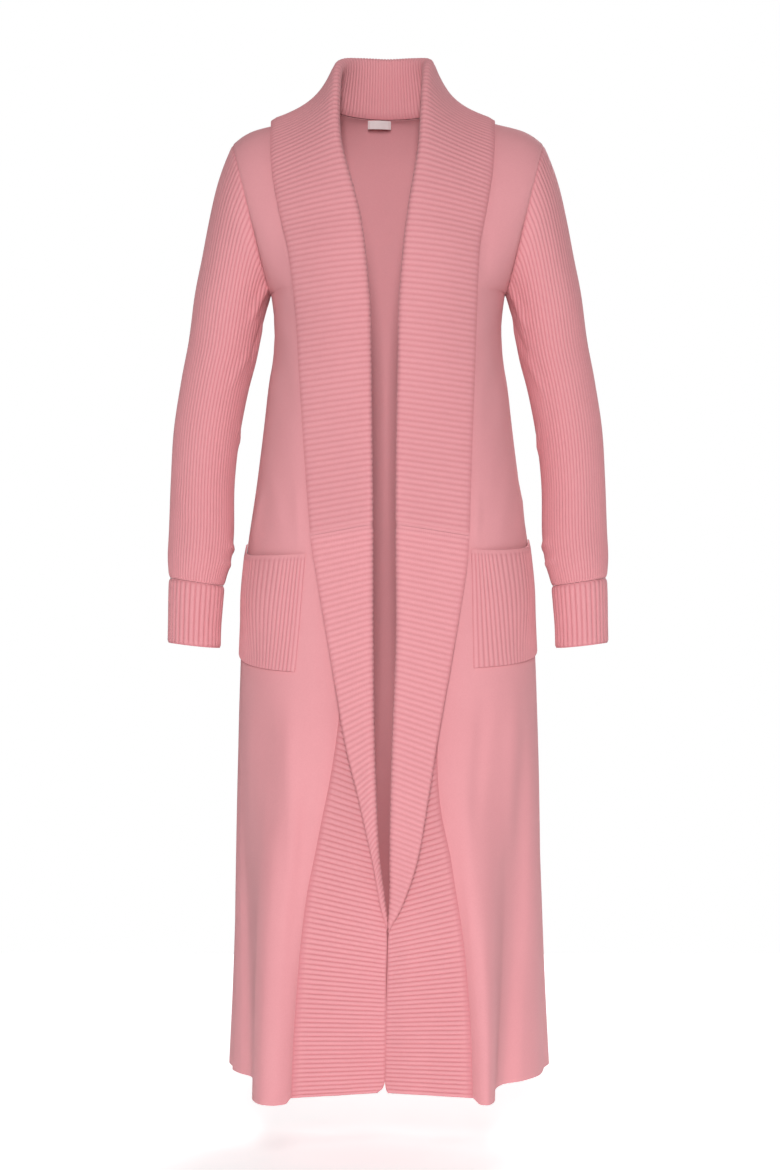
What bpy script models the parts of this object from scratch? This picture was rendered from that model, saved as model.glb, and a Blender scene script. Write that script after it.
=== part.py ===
"""A long open duster cardigan, knitted, filled out as if worn and held up by a wearer's shoulders.

Frame: metres, +Z up, the front faces -Y, +X is the viewer's right when looking at the front.
The origin is the middle of the neck at the height of the shoulder seams' upper ends.
Tables are in millimetres, as a knitter measures, and mm() turns them into metres.
Each cloth piece is a wall: two faces worked out from one surface function, and a rim between them.
"""

import math

import bmesh
import bpy
import numpy as np

LEFT, RIGHT = -1, 1  # the viewer's left and right; the wearer's are the other way round
SIDES = ((LEFT, "left"), (RIGHT, "right"))

JERSEY = 0.0018  # wall of the plain knit
RIBBING = 0.0024  # wall of the ribbed knit, without the rib's own height
SEAM = 0.0003  # the gap between pieces that are sewn together
HEM_Z, ARMPIT_Z, NECK_Z = -1.206, -0.238, -0.001

PINK = (0.73, 0.31, 0.335, 1.0)
LABEL_WHITE = (0.86, 0.76, 0.76, 1.0)

# Rows up a panel: 0 at the hem, 1 at the armpit and 2 at the shoulder seam. The armhole has straight
# stretches between its rows, and so have the seams, so that the pieces on both sides of them match.
ARM_SIDES = 20
TOP = 1.9993  # a panel's last row, the seam's gap short of the shoulder
EDGE_MARGIN = 0.01  # a wall's outermost normals are taken this far inside its edge
LOW_ROWS = (0, 0.07, 0.16, 0.27, 0.38, 0.5, 0.63, 0.77, 0.9)
ROWS = np.array(LOW_ROWS + tuple(1 + i * 2 / ARM_SIDES for i in range(ARM_SIDES // 2)) + (TOP,))
FRONT_PLACES = (0, 0.114, 0.228, 0.341, 0.455, 0.569, 0.683, 0.796, 0.91, 0.9982)  # side seam to band
BACK_PLACES = (0.36, 0.5, 0.64, 0.77, 0.89, 1)  # columns from the shoulder seam's neck end to the side seam


def mm(values):
    """A table in millimetres as metres."""
    return np.array(values, float) * 0.001


def curve(knots, values, at):
    """A smooth curve through values at rising knots: cubic pieces, sloped by each knot's neighbours."""
    knots, values, at = np.asarray(knots, float), np.asarray(values, float), np.asarray(at, float)
    slope = np.gradient(values, knots, axis=0)
    i = np.clip(np.searchsorted(knots, at, side="right") - 1, 0, len(knots) - 2)
    step = knots[i + 1] - knots[i]
    t = np.clip((at - knots[i]) / step, 0, 1)
    if values.ndim > 1:
        step, t = step[..., None], t[..., None]
    return (
        values[i] * (1 + 2 * t) * (1 - t) ** 2
        + values[i + 1] * t * t * (3 - 2 * t)
        + slope[i] * step * t * (1 - t) ** 2
        - slope[i + 1] * step * t * t * (1 - t)
    )


def ease(t):
    """0 to 1 with level ends."""
    t = np.clip(t, 0, 1)
    return t * t * (3 - 2 * t)


def unit(v):
    """Vectors of length 1."""
    return v / np.maximum(np.linalg.norm(v, axis=-1, keepdims=True), 1e-12)


def mix(one, two, share):
    """Directions one turned towards two by a share from 0 to 1."""
    return unit(one * (1 - share[..., None]) + two * share[..., None])


# The body below the armpits: half its width, and how far the back stands behind the side seams.
GIRTH = mm(
    (  # height, half width, back
        (-1206, 195, 150),
        (-1119, 193, 146),
        (-969, 191, 140),
        (-819, 188, 132),
        (-669, 183, 124),
        (-569, 177, 112),
        (-469, 163, 98),
        (-369, 151, 93),
        (-269, 142, 96),
        (-238, 146, 99),
    )
)
UPPER_BACK = mm(((-238, 99), (-180, 105), (-120, 103), (-60, 88), (-8, 55)))  # height, back
SHOULDER_ROUND = 0.008  # the shoulder seam bows up this much towards its outer end

# The front edge of each front panel, where its band is sewn on.
FRONT_SEAM = mm(
    (  # height, left from the middle, right from the middle, depth
        (-1206, 114, 100, -172),
        (-1135, 111.5, 98.5, -158),
        (-1078, 108, 95, -146),
        (-1013, 102, 88.5, -136),
        (-966, 96, 81, -130),
        (-921, 87, 74, -126),
        (-880, 79, 65, -123),
        (-841, 71, 60.5, -121),
        (-769, 60, 60, -119),
        (-530, 62, 62, -115),
        (-330, 66, 66, -116),
        (-250, 68, 68, -114),
        (-180, 69.5, 69.5, -105),
        (-120, 71, 71, -87),
        (-70, 72, 72, -61),
        (-30, 72, 72, -30),
        (-1, 72, 72, 0),
    )
)

# The hem of each front panel from the side seam to the band, seen from above, with its deep flute.
HEM_FLUTE = {
    LEFT: (  # place across the panel, from the middle, depth
        (0, 0.195, 0.0),
        (0.14, 0.183, -0.024),
        (0.26, 0.168, -0.046),
        (0.36, 0.163, -0.080),
        (0.46, 0.162, -0.120),
        (0.56, 0.161, -0.156),
        (0.66, 0.152, -0.182),
        (0.78, 0.135, -0.191),
        (0.9, 0.121, -0.183),
        (1, 0.114, -0.172),
    ),
    RIGHT: (
        (0, 0.195, 0.0),
        (0.12, 0.186, -0.037),
        (0.25, 0.166, -0.067),
        (0.4, 0.139, -0.087),
        (0.5, 0.130, -0.108),
        (0.6, 0.128, -0.140),
        (0.7, 0.126, -0.168),
        (0.8, 0.119, -0.187),
        (0.9, 0.109, -0.186),
        (1, 0.100, -0.172),
    ),
}
FLUTE_TOP = {LEFT: -0.66, RIGHT: -0.74}
FLUTE_DIP = 0.005  # a flute hangs this much lower than the side seam

BACK_FLUTES = (  # turn round the back from the left in degrees, half spread, depth, height where it starts
    (24, 20, 0.022, -0.62),
    (62, 17, 0.030, -0.50),
    (97, 16, 0.022, -0.66),
    (128, 16, 0.030, -0.54),
    (160, 18, 0.020, -0.68),
)

# The sleeve's rings from the armhole down. Tilt is how far a ring's outer end rises, in degrees.
ARMHOLE = (170, 0, -144, 96.8, 66, 76.3)
SLEEVE_RINGS = (  # middle x, y, z, half width, half depth, tilt
    ARMHOLE,
    (180, 2, -168, 80.2, 66.5, 67.8),
    (188, 4, -198, 64.3, 62, 57.4),
    (194.8, 6, -232, 53.6, 58, 45.4),
    (201, 8, -266.5, 47, 54, 28.6),
    (207.5, 8, -307.5, 43.4, 51, 18.5),
    (217, 5, -352, 41.6, 48.5, 11),
    (226.5, -1, -411, 40.5, 46.5, 7),
    (230.8, -10, -472, 39, 44.5, 4.5),
    (231.5, -21, -533, 39.6, 43.5, 4.5),
    (233.5, -29, -566, 38.6, 41.5, 6),
    (235.6, -34, -586, 35.4, 37, 8),
    (236.2, -36, -596, 33.6, 34, 8.5),
)
CUFF_RINGS = (
    (236.2, -36.1, -596.4, 33.6, 34, 8.5),
    (237.3, -40, -621, 32.8, 33, 8),
    (238.2, -44, -648, 31.8, 32.2, 7),
    (238.5, -48, -674, 31.6, 32, 6),
)
SLEEVE_ROWS = (0, 1, 2, 3.5, 6, 9.3, 11, 12)
CUFF_ROWS = (0, 1.5, 3)
ARMHOLE_GAP = 0.00045  # how far a sleeve's end stands out from the body's armhole
SLEEVE_RIBS, CUFF_RIBS = 40, 30
SLEEVE_RIB, CUFF_RIB, BAND_RIB, POCKET_RIB = 0.0009, 0.0012, 0.0012, 0.0008  # heights of the ribs

# The front band from the hem to the middle of the back neck. The roll is its fold line and the edge is
# its free edge. Below the break, where the lapel starts to turn over, the two are one line. The row
# before the last is the middle of the back neck, and the last one is its neighbour on the other side.
BAND = mm(
    (  # seam z, roll left x, right x, y, z, edge left x, right x, y, z, gap between layers, fall's swell
        (-1206, -13, 1.6, -138, -1207, -13, 1.6, -138, -1207, 0, 0),
        (-1192, -4.6, -2.4, -138, -1193, -4.6, -2.4, -138, -1193, 0, 0),
        (-1120, -3.6, -1.8, -139, -1125, -3.6, -1.8, -139, -1125, 0, 0),
        (-1050, -2.2, -0.5, -142, -1062, -2.2, -0.5, -142, -1062, 0, 0),
        (-1000, -1.3, 0.6, -146, -1018, -1.3, 0.6, -146, -1018, 0, 0),
        (-956, -6.3, 4.5, -149, -975, -10, 18, -154, -980, 4, 0),
        (-898, -13.7, 4.9, -150, -916, -19.5, 35.5, -155, -927, 6, 0),
        (-822, -17.3, 6.3, -148, -840, -35, 48, -148, -856, 8, 0),
        (-752, -19.4, 8.6, -143, -768, -52, 59, -141, -785, 9, 0),
        (-652, -20.4, 12.4, -136, -666, -69.5, 77.5, -131, -682, 10, 0),
        (-564, -20.6, 12.2, -130, -570, -86.5, 93.5, -121, -585, 10, 0),
        (-525, -20.6, 11.9, -129, -528, -93, 97.5, -117, -541, 10, 0),
        (-427, -21.7, 12.6, -127, -426, -101, 101, -111, -437, 10, 2),
        (-334, -22.8, 14.4, -127, -331, -107, 104.5, -109, -341, 10, 6),
        (-265, -24.3, 15.7, -127, -259, -111.5, 107, -104.5, -268, 10, 8),
        (-200, -31, 21.6, -123, -188, -120, 110, -103, -197, 11, 7),
        (-160, -37, 26.4, -117, -150, -128, 115.5, -96.5, -163, 12, 4),
        (-125, -46.5, 32.4, -107, -112, -135, 121.5, -88, -130, 12, 3),
        (-85, -58, 39.4, -89, -69, -141, 127, -75, -97, 12, 0),
        (-52, -62.5, 42.3, -66, -31, -144, 130, -57, -66, 12, -4),
        (-22, -63, 44.7, -36, 12, -145, 132, -29, -37, 12, -11),
        (-1, -62, 47.5, -3, 45, -144, 132, 4, -20, 12, -15),
        (0, -55, 49.5, 26, 60, -128, 119, 41, -28, 11, -10),
        (0, -34, 32, 50, 66, -86, 81, 71, -38, 11, -3),
        (0, 0, 0, 61, 67, 0, 0, 87, -39, 11, 0),
        (0, 32, -34, 50, 66, 81, -86, 71, -38, 11, -3),
    )
)
HEM_ROW, OPEN_ROW, BREAK_ROW, FOLDED_ROW, COVERED_ROW, JOIN_ROW = 0, 4, 4.6, 5.2, 8.6, 11
THROAT_ROW, SHOULDER_ROW, BACK_ROW = 16.5, 21, 24
JOIN_GAP = 0.0022  # rows of BAND from the join to the end of the piece on each side of it
BAND_ROW_STEP, RIM_ROW_STEP = 0.5, 0.25  # rows of BAND between a plain face's columns' points
RIM_RIB = 0.0005  # a rib's height on the band's seam and edge
MID_FALL = 0.7  # the place across the band where its ribs are spaced evenly
NOSE = 0.004  # a fold's rounded nose reaches this far on each side of the roll
NECK_WIDTH, NECK_DEPTH, NECK_DROP = 0.072, 0.055, 0.007
NECK_TURNS = (0, 34, 61, 90)  # degrees round the back neck at the last rows of BAND
NECK_CORNERS = np.radians(np.linspace(0, 90, 5))
RIB_PITCH_HEM, RIB_PITCH, RIB_PITCH_REACH = 0.0050, 0.0069, 0.45

# The pockets' edges across the front, from the side seam inwards: place across the panel, height.
POCKET_TOP = {
    LEFT: ((0.03, -0.549), (0.14, -0.558), (0.3, -0.562), (0.6, -0.561), (0.785, -0.559)),
    RIGHT: ((0.03, -0.543), (0.16, -0.548), (0.3, -0.553), (0.6, -0.556), (0.78, -0.556)),
}
POCKET_BOTTOM = {
    LEFT: ((0.03, -0.688), (0.2, -0.697), (0.45, -0.702), (0.725, -0.7055)),
    RIGHT: ((0.03, -0.686), (0.2, -0.692), (0.45, -0.697), (0.765, -0.702)),
}
POCKET_RIBS, POCKET_BULGE = 22, 0.009
POCKET_ROWS = ((0, 1), (0.12, 1), (0.5, 1), (1, 0))  # row up the pocket, and whether its ribs reach it

LABEL_MIDDLE, LABEL_WIDTH, LABEL_HEIGHT = -0.011, 0.029, 0.0095
LABEL_THICK, LABEL_BOW, LABEL_TOP_Z = 0.001, 0.004, -0.0105
LABEL_SINK, LABEL_OVAL = 0.0029, 0.08  # from the back's outer face inwards, and its half width there


def girth(z):
    """Half the body's width and the back's depth at a height below the armpit."""
    return curve(GIRTH[:, 0], GIRTH[:, 1:], z)


def height(v):
    """The height of a panel's middle at row v: even steps below the armpit, and even steps above it."""
    low = HEM_Z + (ARMPIT_Z - HEM_Z) * np.clip(v, 0, 1)
    return low + (NECK_Z - ARMPIT_Z) * np.clip(v - 1, 0, 1)


def front_seam(side, z):
    """The line where a front panel meets its band, straight between the panel's rows."""
    corners = np.append(height(ROWS), NECK_Z)
    table = curve(FRONT_SEAM[:, 0], FRONT_SEAM[:, 1:], corners)
    x = np.interp(z, corners, table[:, 0] if side == LEFT else table[:, 1])
    return np.stack([side * x, np.interp(z, corners, table[:, 2]), z + 0 * x], -1)


def neck_seam(side, turn):
    """The line where the back meets the collar, as an oval with straight stretches between its corners."""
    corners = np.stack([np.cos(NECK_CORNERS) * NECK_WIDTH, np.sin(NECK_CORNERS) * NECK_DEPTH], -1)
    x = np.interp(turn, NECK_CORNERS, corners[:, 0])
    y = np.interp(turn, NECK_CORNERS, corners[:, 1])
    return np.stack([side * x, y, NECK_Z - NECK_DROP * y / NECK_DEPTH], -1)


def shoulder_z(x, end_x, end_z):
    """The shoulder seam's height at x: a straight slope with a round hump towards its outer end."""
    share = np.clip((x - NECK_WIDTH) / (end_x - NECK_WIDTH), 0, 1)
    return NECK_Z + (end_z - NECK_Z) * share + SHOULDER_ROUND * np.sin(math.pi * share**3)


def ring(side, row, turn):
    """A point of a sleeve ring: row holds its middle, half sizes and tilt, and turn 0 is the outer end."""
    tilt = np.radians(row[..., 5])
    across = row[..., 3] * 0.001 * np.cos(turn)
    x = row[..., 0] * 0.001 + across * np.cos(tilt)
    y = row[..., 1] * 0.001 - row[..., 4] * 0.001 * np.sin(turn)
    z = row[..., 2] * 0.001 + across * np.sin(tilt)
    return np.stack([side * x, y, z], -1)


def armhole(side, turn):
    """The armhole's outline, straight between its corners."""
    step = 2 * math.pi / ARM_SIDES
    corner = np.floor(np.asarray(turn) / step + 1e-6)
    share = (turn / step - corner)[..., None]
    row = np.broadcast_to(np.array(ARMHOLE, float), np.shape(corner) + (6,))
    return ring(side, row, corner * step) * (1 - share) + ring(side, row, (corner + 1) * step) * share


def into_armhole(side, turn, lower=-1):
    """The way through the cloth at the armhole, halfway between the body's and the sleeve's.

    Under the arm the two part: the body's goes inwards (lower = -1) and the sleeve's outwards (lower = 1).
    """
    tilt = math.radians(ARMHOLE[5])
    x = -np.cos(turn) * math.cos(tilt) + 1.2 * np.cos(turn) * np.where(np.cos(turn) > 0, -1, -lower)
    return unit(np.stack([side * x, np.sin(turn), -np.cos(turn) * math.sin(tilt)], -1))


def into_neck(side, turn):
    """The way through the cloth at the neck seam, halfway between the body's and the standing collar's."""
    down = 0.29 * np.sin(turn) - 0.56
    return unit(np.stack([-side * 0.83 * np.cos(turn), -0.96 * np.sin(turn), down], -1))


def into_front(side, z):
    """The way through the cloth where a band is sewn on: straight back, and at the neck as into_neck."""
    straight = np.zeros(np.shape(z) + (3,)) + np.array([0, 1.0, 0])
    return mix(straight, into_neck(side, 0 * z), ease((z + 0.25) / 0.25))


def front_plain(side, u, v):
    """A front panel without its flute: a quarter oval from its outer edge (u = 0) to the band (u = 1)."""
    up = np.clip(v - 1, 0, 1)
    seam = front_seam(side, height(v))
    half = girth(height(v))[..., 0]
    low = np.stack([side * half, 0 * half - SEAM / 2, height(v)], -1)
    outer = np.where((v <= 1)[..., None], low, armhole(side, math.pi * (1 - up)))
    turn = u * math.pi / 2
    x = seam[..., 0] + (outer[..., 0] - seam[..., 0]) * np.cos(turn)
    y = outer[..., 1] + (seam[..., 1] - outer[..., 1]) * np.sin(turn)
    z = seam[..., 2] + (outer[..., 2] - seam[..., 2]) * np.cos(turn)
    share = np.clip((np.abs(x) - NECK_WIDTH) / (np.abs(outer[..., 0]) - NECK_WIDTH), 0, 1)
    return np.stack([x, y, z + SHOULDER_ROUND * np.sin(math.pi * share**3) * up**3], -1)


def front(side, u, v):
    """A front panel's outer face: the quarter oval, moved below the hips to the flute's table at the hem."""
    u, v = np.broadcast_arrays(np.asarray(u, float), np.asarray(v, float))
    table = np.array(HEM_FLUTE[side])
    goal = curve(table[:, 0], table[:, 1:], u)
    plain = front_plain(side, u, 0 * u)
    rise = np.clip((FLUTE_TOP[side] - height(v)) / (FLUTE_TOP[side] - HEM_Z), 0, 1) ** 1.15
    dip = FLUTE_DIP * ease((-goal[..., 1] - 0.05) / 0.12) * ease(rise) * ease((1 - u) / 0.1)
    move = np.stack([side * goal[..., 0] - plain[..., 0], goal[..., 1] - plain[..., 1], 0 * u], -1)
    down = np.stack([0 * u, 0 * u, -dip], -1)
    return front_plain(side, u, v) + move * rise[..., None] + down


def back(u, v):
    """The back's outer face: u runs from the left side (-1) to the right side (1).

    Below the armpits each row is half an oval. Above them it turns by degrees into the armholes,
    and at the very top into the shoulder seams and the back neck.
    """
    u, v = np.broadcast_arrays(np.asarray(u, float), np.asarray(v, float))
    up = np.clip(v - 1, 0, 1)
    side = np.where(u < 0, LEFT, RIGHT)
    z = height(v)
    half = girth(z)
    hole = armhole(RIGHT, math.pi * (1 + up))
    low = np.stack([half[..., 0], 0 * z + SEAM / 2, z], -1)
    outer = np.where((v <= 1)[..., None], low, hole)
    middle_z = np.where(v <= 1, z, z - NECK_DROP * up)
    middle_y = np.where(v <= 1, half[..., 1], curve(UPPER_BACK[:, 0], UPPER_BACK[:, 1], middle_z))
    turn = (1 - np.abs(u)) * math.pi / 2
    x = outer[..., 0] * np.cos(turn)
    neck = np.sqrt(np.clip(1 - (x / NECK_WIDTH) ** 2, 0, 1))
    near_top = up**8
    y = outer[..., 1] + (middle_y - outer[..., 1]) * (np.sin(turn) * (1 - near_top) + neck * near_top)
    level = middle_z + (outer[..., 2] - middle_z) * np.cos(turn) ** 1.5
    shoulder = shoulder_z(x, outer[..., 0], outer[..., 2]) - NECK_DROP * neck - SEAM * (x < NECK_WIDTH)
    z_here = level * (1 - near_top) + shoulder * near_top
    degrees = np.where(u < 0, np.degrees(turn), 180 - np.degrees(turn))
    out = np.stack([side * np.cos(turn), np.sin(turn), 0 * x], -1)
    point = np.stack([side * x, np.maximum(y, SEAM / 2), z_here], -1)
    for place, spread, depth, start in BACK_FLUTES:
        near = np.clip(1 - np.abs(degrees - place) / spread, 0, 1)
        fall = np.clip((start - z) / (start - HEM_Z), 0, 1)
        point = point + out * (depth * ease(near) * fall)[..., None]
    return point


def through_panel(side, u, v, inward, facing):
    """The way through a panel: its own inward normal, and on its edges the way shared with its neighbour.

    Facing is 1 on a front, which runs up the front of the armhole, and -1 on the back.
    """
    arm = into_armhole(side, facing * math.pi * (2 - np.clip(v, 1, 2)))
    low = np.stack([-side + 0 * u, 0 * u, 0 * u], -1)
    outer = np.where((v < 1)[..., None], low, arm)
    shoulder = unit(np.stack([-0.37 * side + 0 * u, 0 * u, -0.93 + 0 * u], -1))
    way = mix(inward, shoulder, ease((v - 1.85) / 0.15))
    return mix(way, outer, ease(1 - u / 0.14))


def band_guides(side, s):
    """The band's seam, roll and edge at s, in rows of BAND, its layers' gap, its swell and its way in."""
    rows = np.arange(len(BAND), dtype=float)
    s = np.asarray(s, float)
    at = curve(rows, BAND, np.clip(s, 0, BACK_ROW))
    sewn = slice(SHOULDER_ROW + 1)
    low = front_seam(side, curve(rows[sewn], BAND[sewn, 0], np.clip(s, 0, SHOULDER_ROW)))
    turn = np.radians(np.interp(s, range(SHOULDER_ROW, BACK_ROW + 1), NECK_TURNS))
    seam = np.where((s > SHOULDER_ROW)[..., None], neck_seam(side, turn), low)
    shift = 1 if side == LEFT else 2
    roll = np.stack([at[..., shift], at[..., 3], at[..., 4]], -1)
    edge = np.stack([at[..., shift + 4], at[..., 7], at[..., 8]], -1)
    edge = np.where((s < OPEN_ROW)[..., None], roll, edge)
    way = np.where((s > SHOULDER_ROW)[..., None], into_neck(side, turn), into_front(side, low[..., 2]))
    return seam, roll, edge, at[..., 9], at[..., 10], way


def roll_line(side, s):
    """The roll, which goes on past the middle of the back neck as the other side's."""
    past = (s > BACK_ROW)[..., None]
    return np.where(past, band_guides(-side, 2 * BACK_ROW - s)[1], band_guides(side, s)[1])


def band(side, s, w):
    """The band's outer face. Across it w runs from the seam (0) over the roll to the free edge (1).

    Its section is a hairpin: the distance from the roll grows as a rounded V, and the depth steps
    across the roll by the gap between the two layers. Swell bows the part that is turned over.
    """
    s, w = np.broadcast_arrays(np.asarray(s, float), np.asarray(w, float))
    seam, roll, edge, gap, swell, _ = band_guides(side, s)
    run = roll_line(side, s + 0.2) - roll_line(side, np.maximum(s - 0.2, 0))
    inner, outer = (np.linalg.norm(p - roll, axis=-1) for p in (seam, edge))
    outward = unit(side * np.cross((seam + edge) / 2 - roll, run))
    gap = np.maximum(np.minimum(gap, outer * 0.5), 1e-4) / 2
    q = w * (inner + outer) - inner
    goal = np.where((q < 0)[..., None], seam, edge)
    length = np.maximum(np.where(q < 0, inner, outer), 1e-6)
    end = np.sqrt(length**2 + gap**2)
    reach = goal - roll - outward * (gap * np.sign(q) * length / end)[..., None]
    share = (np.sqrt(q * q + gap * gap) - gap) / (end - gap)
    lift = gap * q / np.sqrt(q * q + gap * gap) + swell * np.sin(math.pi * np.clip(q / length, 0, 1))
    return roll + reach * share[..., None] + outward * lift[..., None]


def band_places(side, s):
    """Places across the band: its seam, both sides of the fold's nose, the fall's middle and the edge."""
    seam, roll, edge = band_guides(side, s)[:3]
    inner, outer = (np.linalg.norm(p - roll, axis=-1) for p in (seam, edge))
    total = inner + outer
    before = np.minimum((inner - NOSE) / total, 0.8)
    after = np.minimum((inner + NOSE) / total, 0.9)
    middle, edge = (after + 1) / 2, 0 * s + 1
    return {"seam": SEAM / total, "before": before, "after": after, "middle": middle, "edge": edge}


def rib_rows(side, low, high):
    """Rows of BAND at the troughs and crests of the ribs between two rows, evenly spaced along the lapel."""
    s = np.linspace(low, high, 1500)
    line = band(side, s, np.full_like(s, MID_FALL))
    step = np.linalg.norm(np.diff(line, axis=0), axis=1)
    pitch = RIB_PITCH_HEM + (RIB_PITCH - RIB_PITCH_HEM) * ease((line[1:, 2] - HEM_Z) / RIB_PITCH_REACH)
    count = np.concatenate([[0], np.cumsum(step / pitch)])
    ribs = round(count[-1])
    return np.interp(np.arange(2 * ribs + 1) / (2 * ribs), count / count[-1], s)


def rib_stretch(rows, plain, low, high):
    """Rows with ribs from low to high and plain ones beyond, and how high each row stands: 1 on a crest."""
    ribbed = (rows >= low) & (rows <= high)
    crest = np.arange(len(rows)) % 2
    before, after = plain[plain < rows[ribbed][0] - 1e-9], plain[plain > rows[ribbed][-1] + 1e-9]
    together = np.concatenate([before, rows[ribbed], after])
    return together, np.concatenate([0 * before, crest[ribbed], 0 * after])


def wall(name, surface, thick, outer, inner, hand, through=None, loop=False, left_end=0):
    """A closed cloth wall.

    Surface gives points from a place along and a place across, and hand turns its normals outwards.
    Outer and inner are the columns of the wall's two faces: (places along, places across, lifts).
    Columns of unlike counts are laced together with triangles, and a rim joins the two faces.
    """
    points, faces = [], []
    full = 2 * math.pi

    def add(columns, depth):
        made = []
        for along, across, lift in columns:
            along = np.asarray(along, float)
            across = np.broadcast_to(np.asarray(across, float), along.shape)
            step = 1e-4
            inside = across if loop else np.clip(across, left_end + EDGE_MARGIN, 1 - EDGE_MARGIN)
            run = surface(along + step, inside) - surface(along - step, inside)
            over = surface(along, inside + step) - surface(along, inside - step)
            inward = -hand * unit(np.cross(over, run))
            inward = inward if through is None else through(along, across, inward)
            rise = -np.asarray(lift) if depth == 0 else depth + np.asarray(lift)
            points.extend(surface(along, across) + inward * np.broadcast_to(rise, along.shape)[:, None])
            made.append((len(points) - len(along) + np.arange(len(along)), along, across))
        return made

    def lace(one, two, one_at, two_at, turned):
        i = j = 0
        while i < len(one) - 1 or j < len(two) - 1:
            last = j == len(two) - 1
            first = last or (i < len(one) - 1 and one_at[i + 1] + one_at[i] <= two_at[j + 1] + two_at[j])
            face = (one[i], two[j], one[i + 1]) if first else (one[i], two[j], two[j + 1])
            faces.append(face[::-1] if turned else face)
            i, j = (i + 1, j) if first else (i, j + 1)

    top, bottom = add(outer, 0.0), add(inner, thick)
    for columns, turned in ((top, False), (bottom, True)):
        pairs = list(zip(columns, columns[1:]))
        pairs += [(columns[-1], columns[0])] if loop else []
        for one, two in pairs:
            lace(one[0], two[0], one[1], two[1], turned)
    if not loop:
        for end, turned in ((0, True), (-1, False)):
            lace(top[end][0], bottom[end][0], top[end][1], bottom[end][1], turned)
    for end, turned in ((0, False), (-1, True)):
        first, second = ([c[0][end] for c in columns] for columns in (top, bottom))
        first_at, second_at = ([c[2][end] for c in columns] for columns in (top, bottom))
        if loop:
            first, second = first + first[:1], second + second[:1]
            first_at, second_at = first_at + [first_at[0] + full], second_at + [second_at[0] + full]
        lace(first, second, first_at, second_at, turned)
    return cloth_object(name, np.array(points), faces)


def cloth_object(name, points, faces):
    """The mesh object of a closed wall, with its faces turned outwards."""
    mesh = bpy.data.meshes.new(name)
    mesh.from_pydata([tuple(p) for p in points], [], [tuple(int(i) for i in f) for f in faces])
    work = bmesh.new()
    work.from_mesh(mesh)
    bmesh.ops.recalc_face_normals(work, faces=work.faces)
    if work.calc_volume(signed=True) < 0:
        bmesh.ops.reverse_faces(work, faces=work.faces)
    work.to_mesh(mesh)
    work.free()
    mesh.shade_smooth()
    mesh.set_sharp_from_angle(angle=math.radians(35))
    made = bpy.data.objects.new(name, mesh)
    garment.objects.link(made)
    return made


def material(name, colour, roughness):
    """A plain material with a colour and a roughness."""
    made = bpy.data.materials.new(name)
    made.use_nodes = True
    shader = made.node_tree.nodes["Principled BSDF"]
    shader.inputs["Base Color"].default_value = colour
    shader.inputs["Roughness"].default_value = roughness
    return made


def grid(along, across):
    """Columns of equal rows, with no lifts."""
    return [(along, a, 0.0) for a in across]


def make_front(side, name):
    """A front panel in plain knit, from the hem to the shoulder seam."""

    def surface(v, u):
        return front(side, u, v)

    def through(v, u, inward):
        way = through_panel(side, u, v, inward, 1)
        return mix(way, into_front(side, height(v)), ease((u - 0.86) / 0.14))

    columns = grid(ROWS, FRONT_PLACES)
    return wall(name, surface, JERSEY, columns, columns, -side, through)


def make_back():
    """The back in plain knit, in one piece, from the hem to the shoulder seams and the back neck."""
    armhole_top = armhole(RIGHT, np.array(0.0))[0]
    neck = np.arcsin(NECK_WIDTH * np.cos(NECK_CORNERS) / armhole_top) * 2 / math.pi
    half = np.concatenate([neck[::-1], BACK_PLACES])

    def surface(v, u):
        return back(u, v)

    def through(v, u, inward):
        side = np.where(u < 0, LEFT, RIGHT)
        turn = np.arccos(np.clip(armhole_top * np.sin(np.abs(u) * math.pi / 2) / NECK_WIDTH, 0, 1))
        way = through_panel(side, 1 - np.abs(u), v, inward, -1)
        inside = np.abs(u) <= neck[0] + 1e-6
        return mix(way, into_neck(side, turn), ease((v - 1.85) / 0.15) * inside)

    columns = grid(ROWS, np.concatenate([-half[::-1], half[1:]]))
    return wall("back", surface, JERSEY, columns, columns, -1, through, left_end=-1)


def make_tube(name, side, rings, thick, ribs, rib, rows, at_armhole):
    """A sleeve or a cuff: a tube through its rings, with ribs that run along it. Its ends are flat."""
    table = np.array(rings, float)
    knots = np.arange(len(table), dtype=float)
    rows = np.array(rows, float)
    tilt = math.radians(ARMHOLE[5])
    out = np.array([side * math.sin(tilt), 0, -math.cos(tilt)]) * ARMHOLE_GAP

    def surface(along, turn):
        point = ring(side, curve(knots, table, along), turn)
        if at_armhole:
            first = ring(side, np.broadcast_to(table[0], turn.shape + (6,)), turn)
            point = point + (armhole(side, turn) - first + out) * np.clip(1 - along, 0, 1)[..., None]
        return point

    def through(along, turn, inward):
        row = curve(knots, table, along)
        centre = ring(side, row * np.array([1, 1, 1, 0, 0, 1]), turn)
        flat = unit(centre - ring(side, row, turn))
        way = mix(inward, flat, (np.abs(along - rows[-1]) < 1e-3) + (np.abs(along) < 1e-3) * 1.0)
        return mix(way, into_armhole(side, turn, 1), (along < 1e-3) * 1.0) if at_armhole else way

    turns = np.linspace(0, 2 * math.pi, 2 * ribs, endpoint=False)
    fade = np.minimum(rows, 1) if at_armhole else 0 * rows + 1
    outer = [(rows, turn, rib * (i % 2) * fade) for i, turn in enumerate(turns)]
    inner = grid(rows, np.linspace(0, 2 * math.pi, ARM_SIDES, endpoint=False))
    return wall(name, surface, thick, outer, inner, side, through, loop=True)


def through_band(side, s, w, inward):
    """The way through a band: its own inward normal, and at its seam the way that it shares with the body."""
    return mix(inward, band_guides(side, s)[5], ease(1 - w / 0.08))


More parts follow.
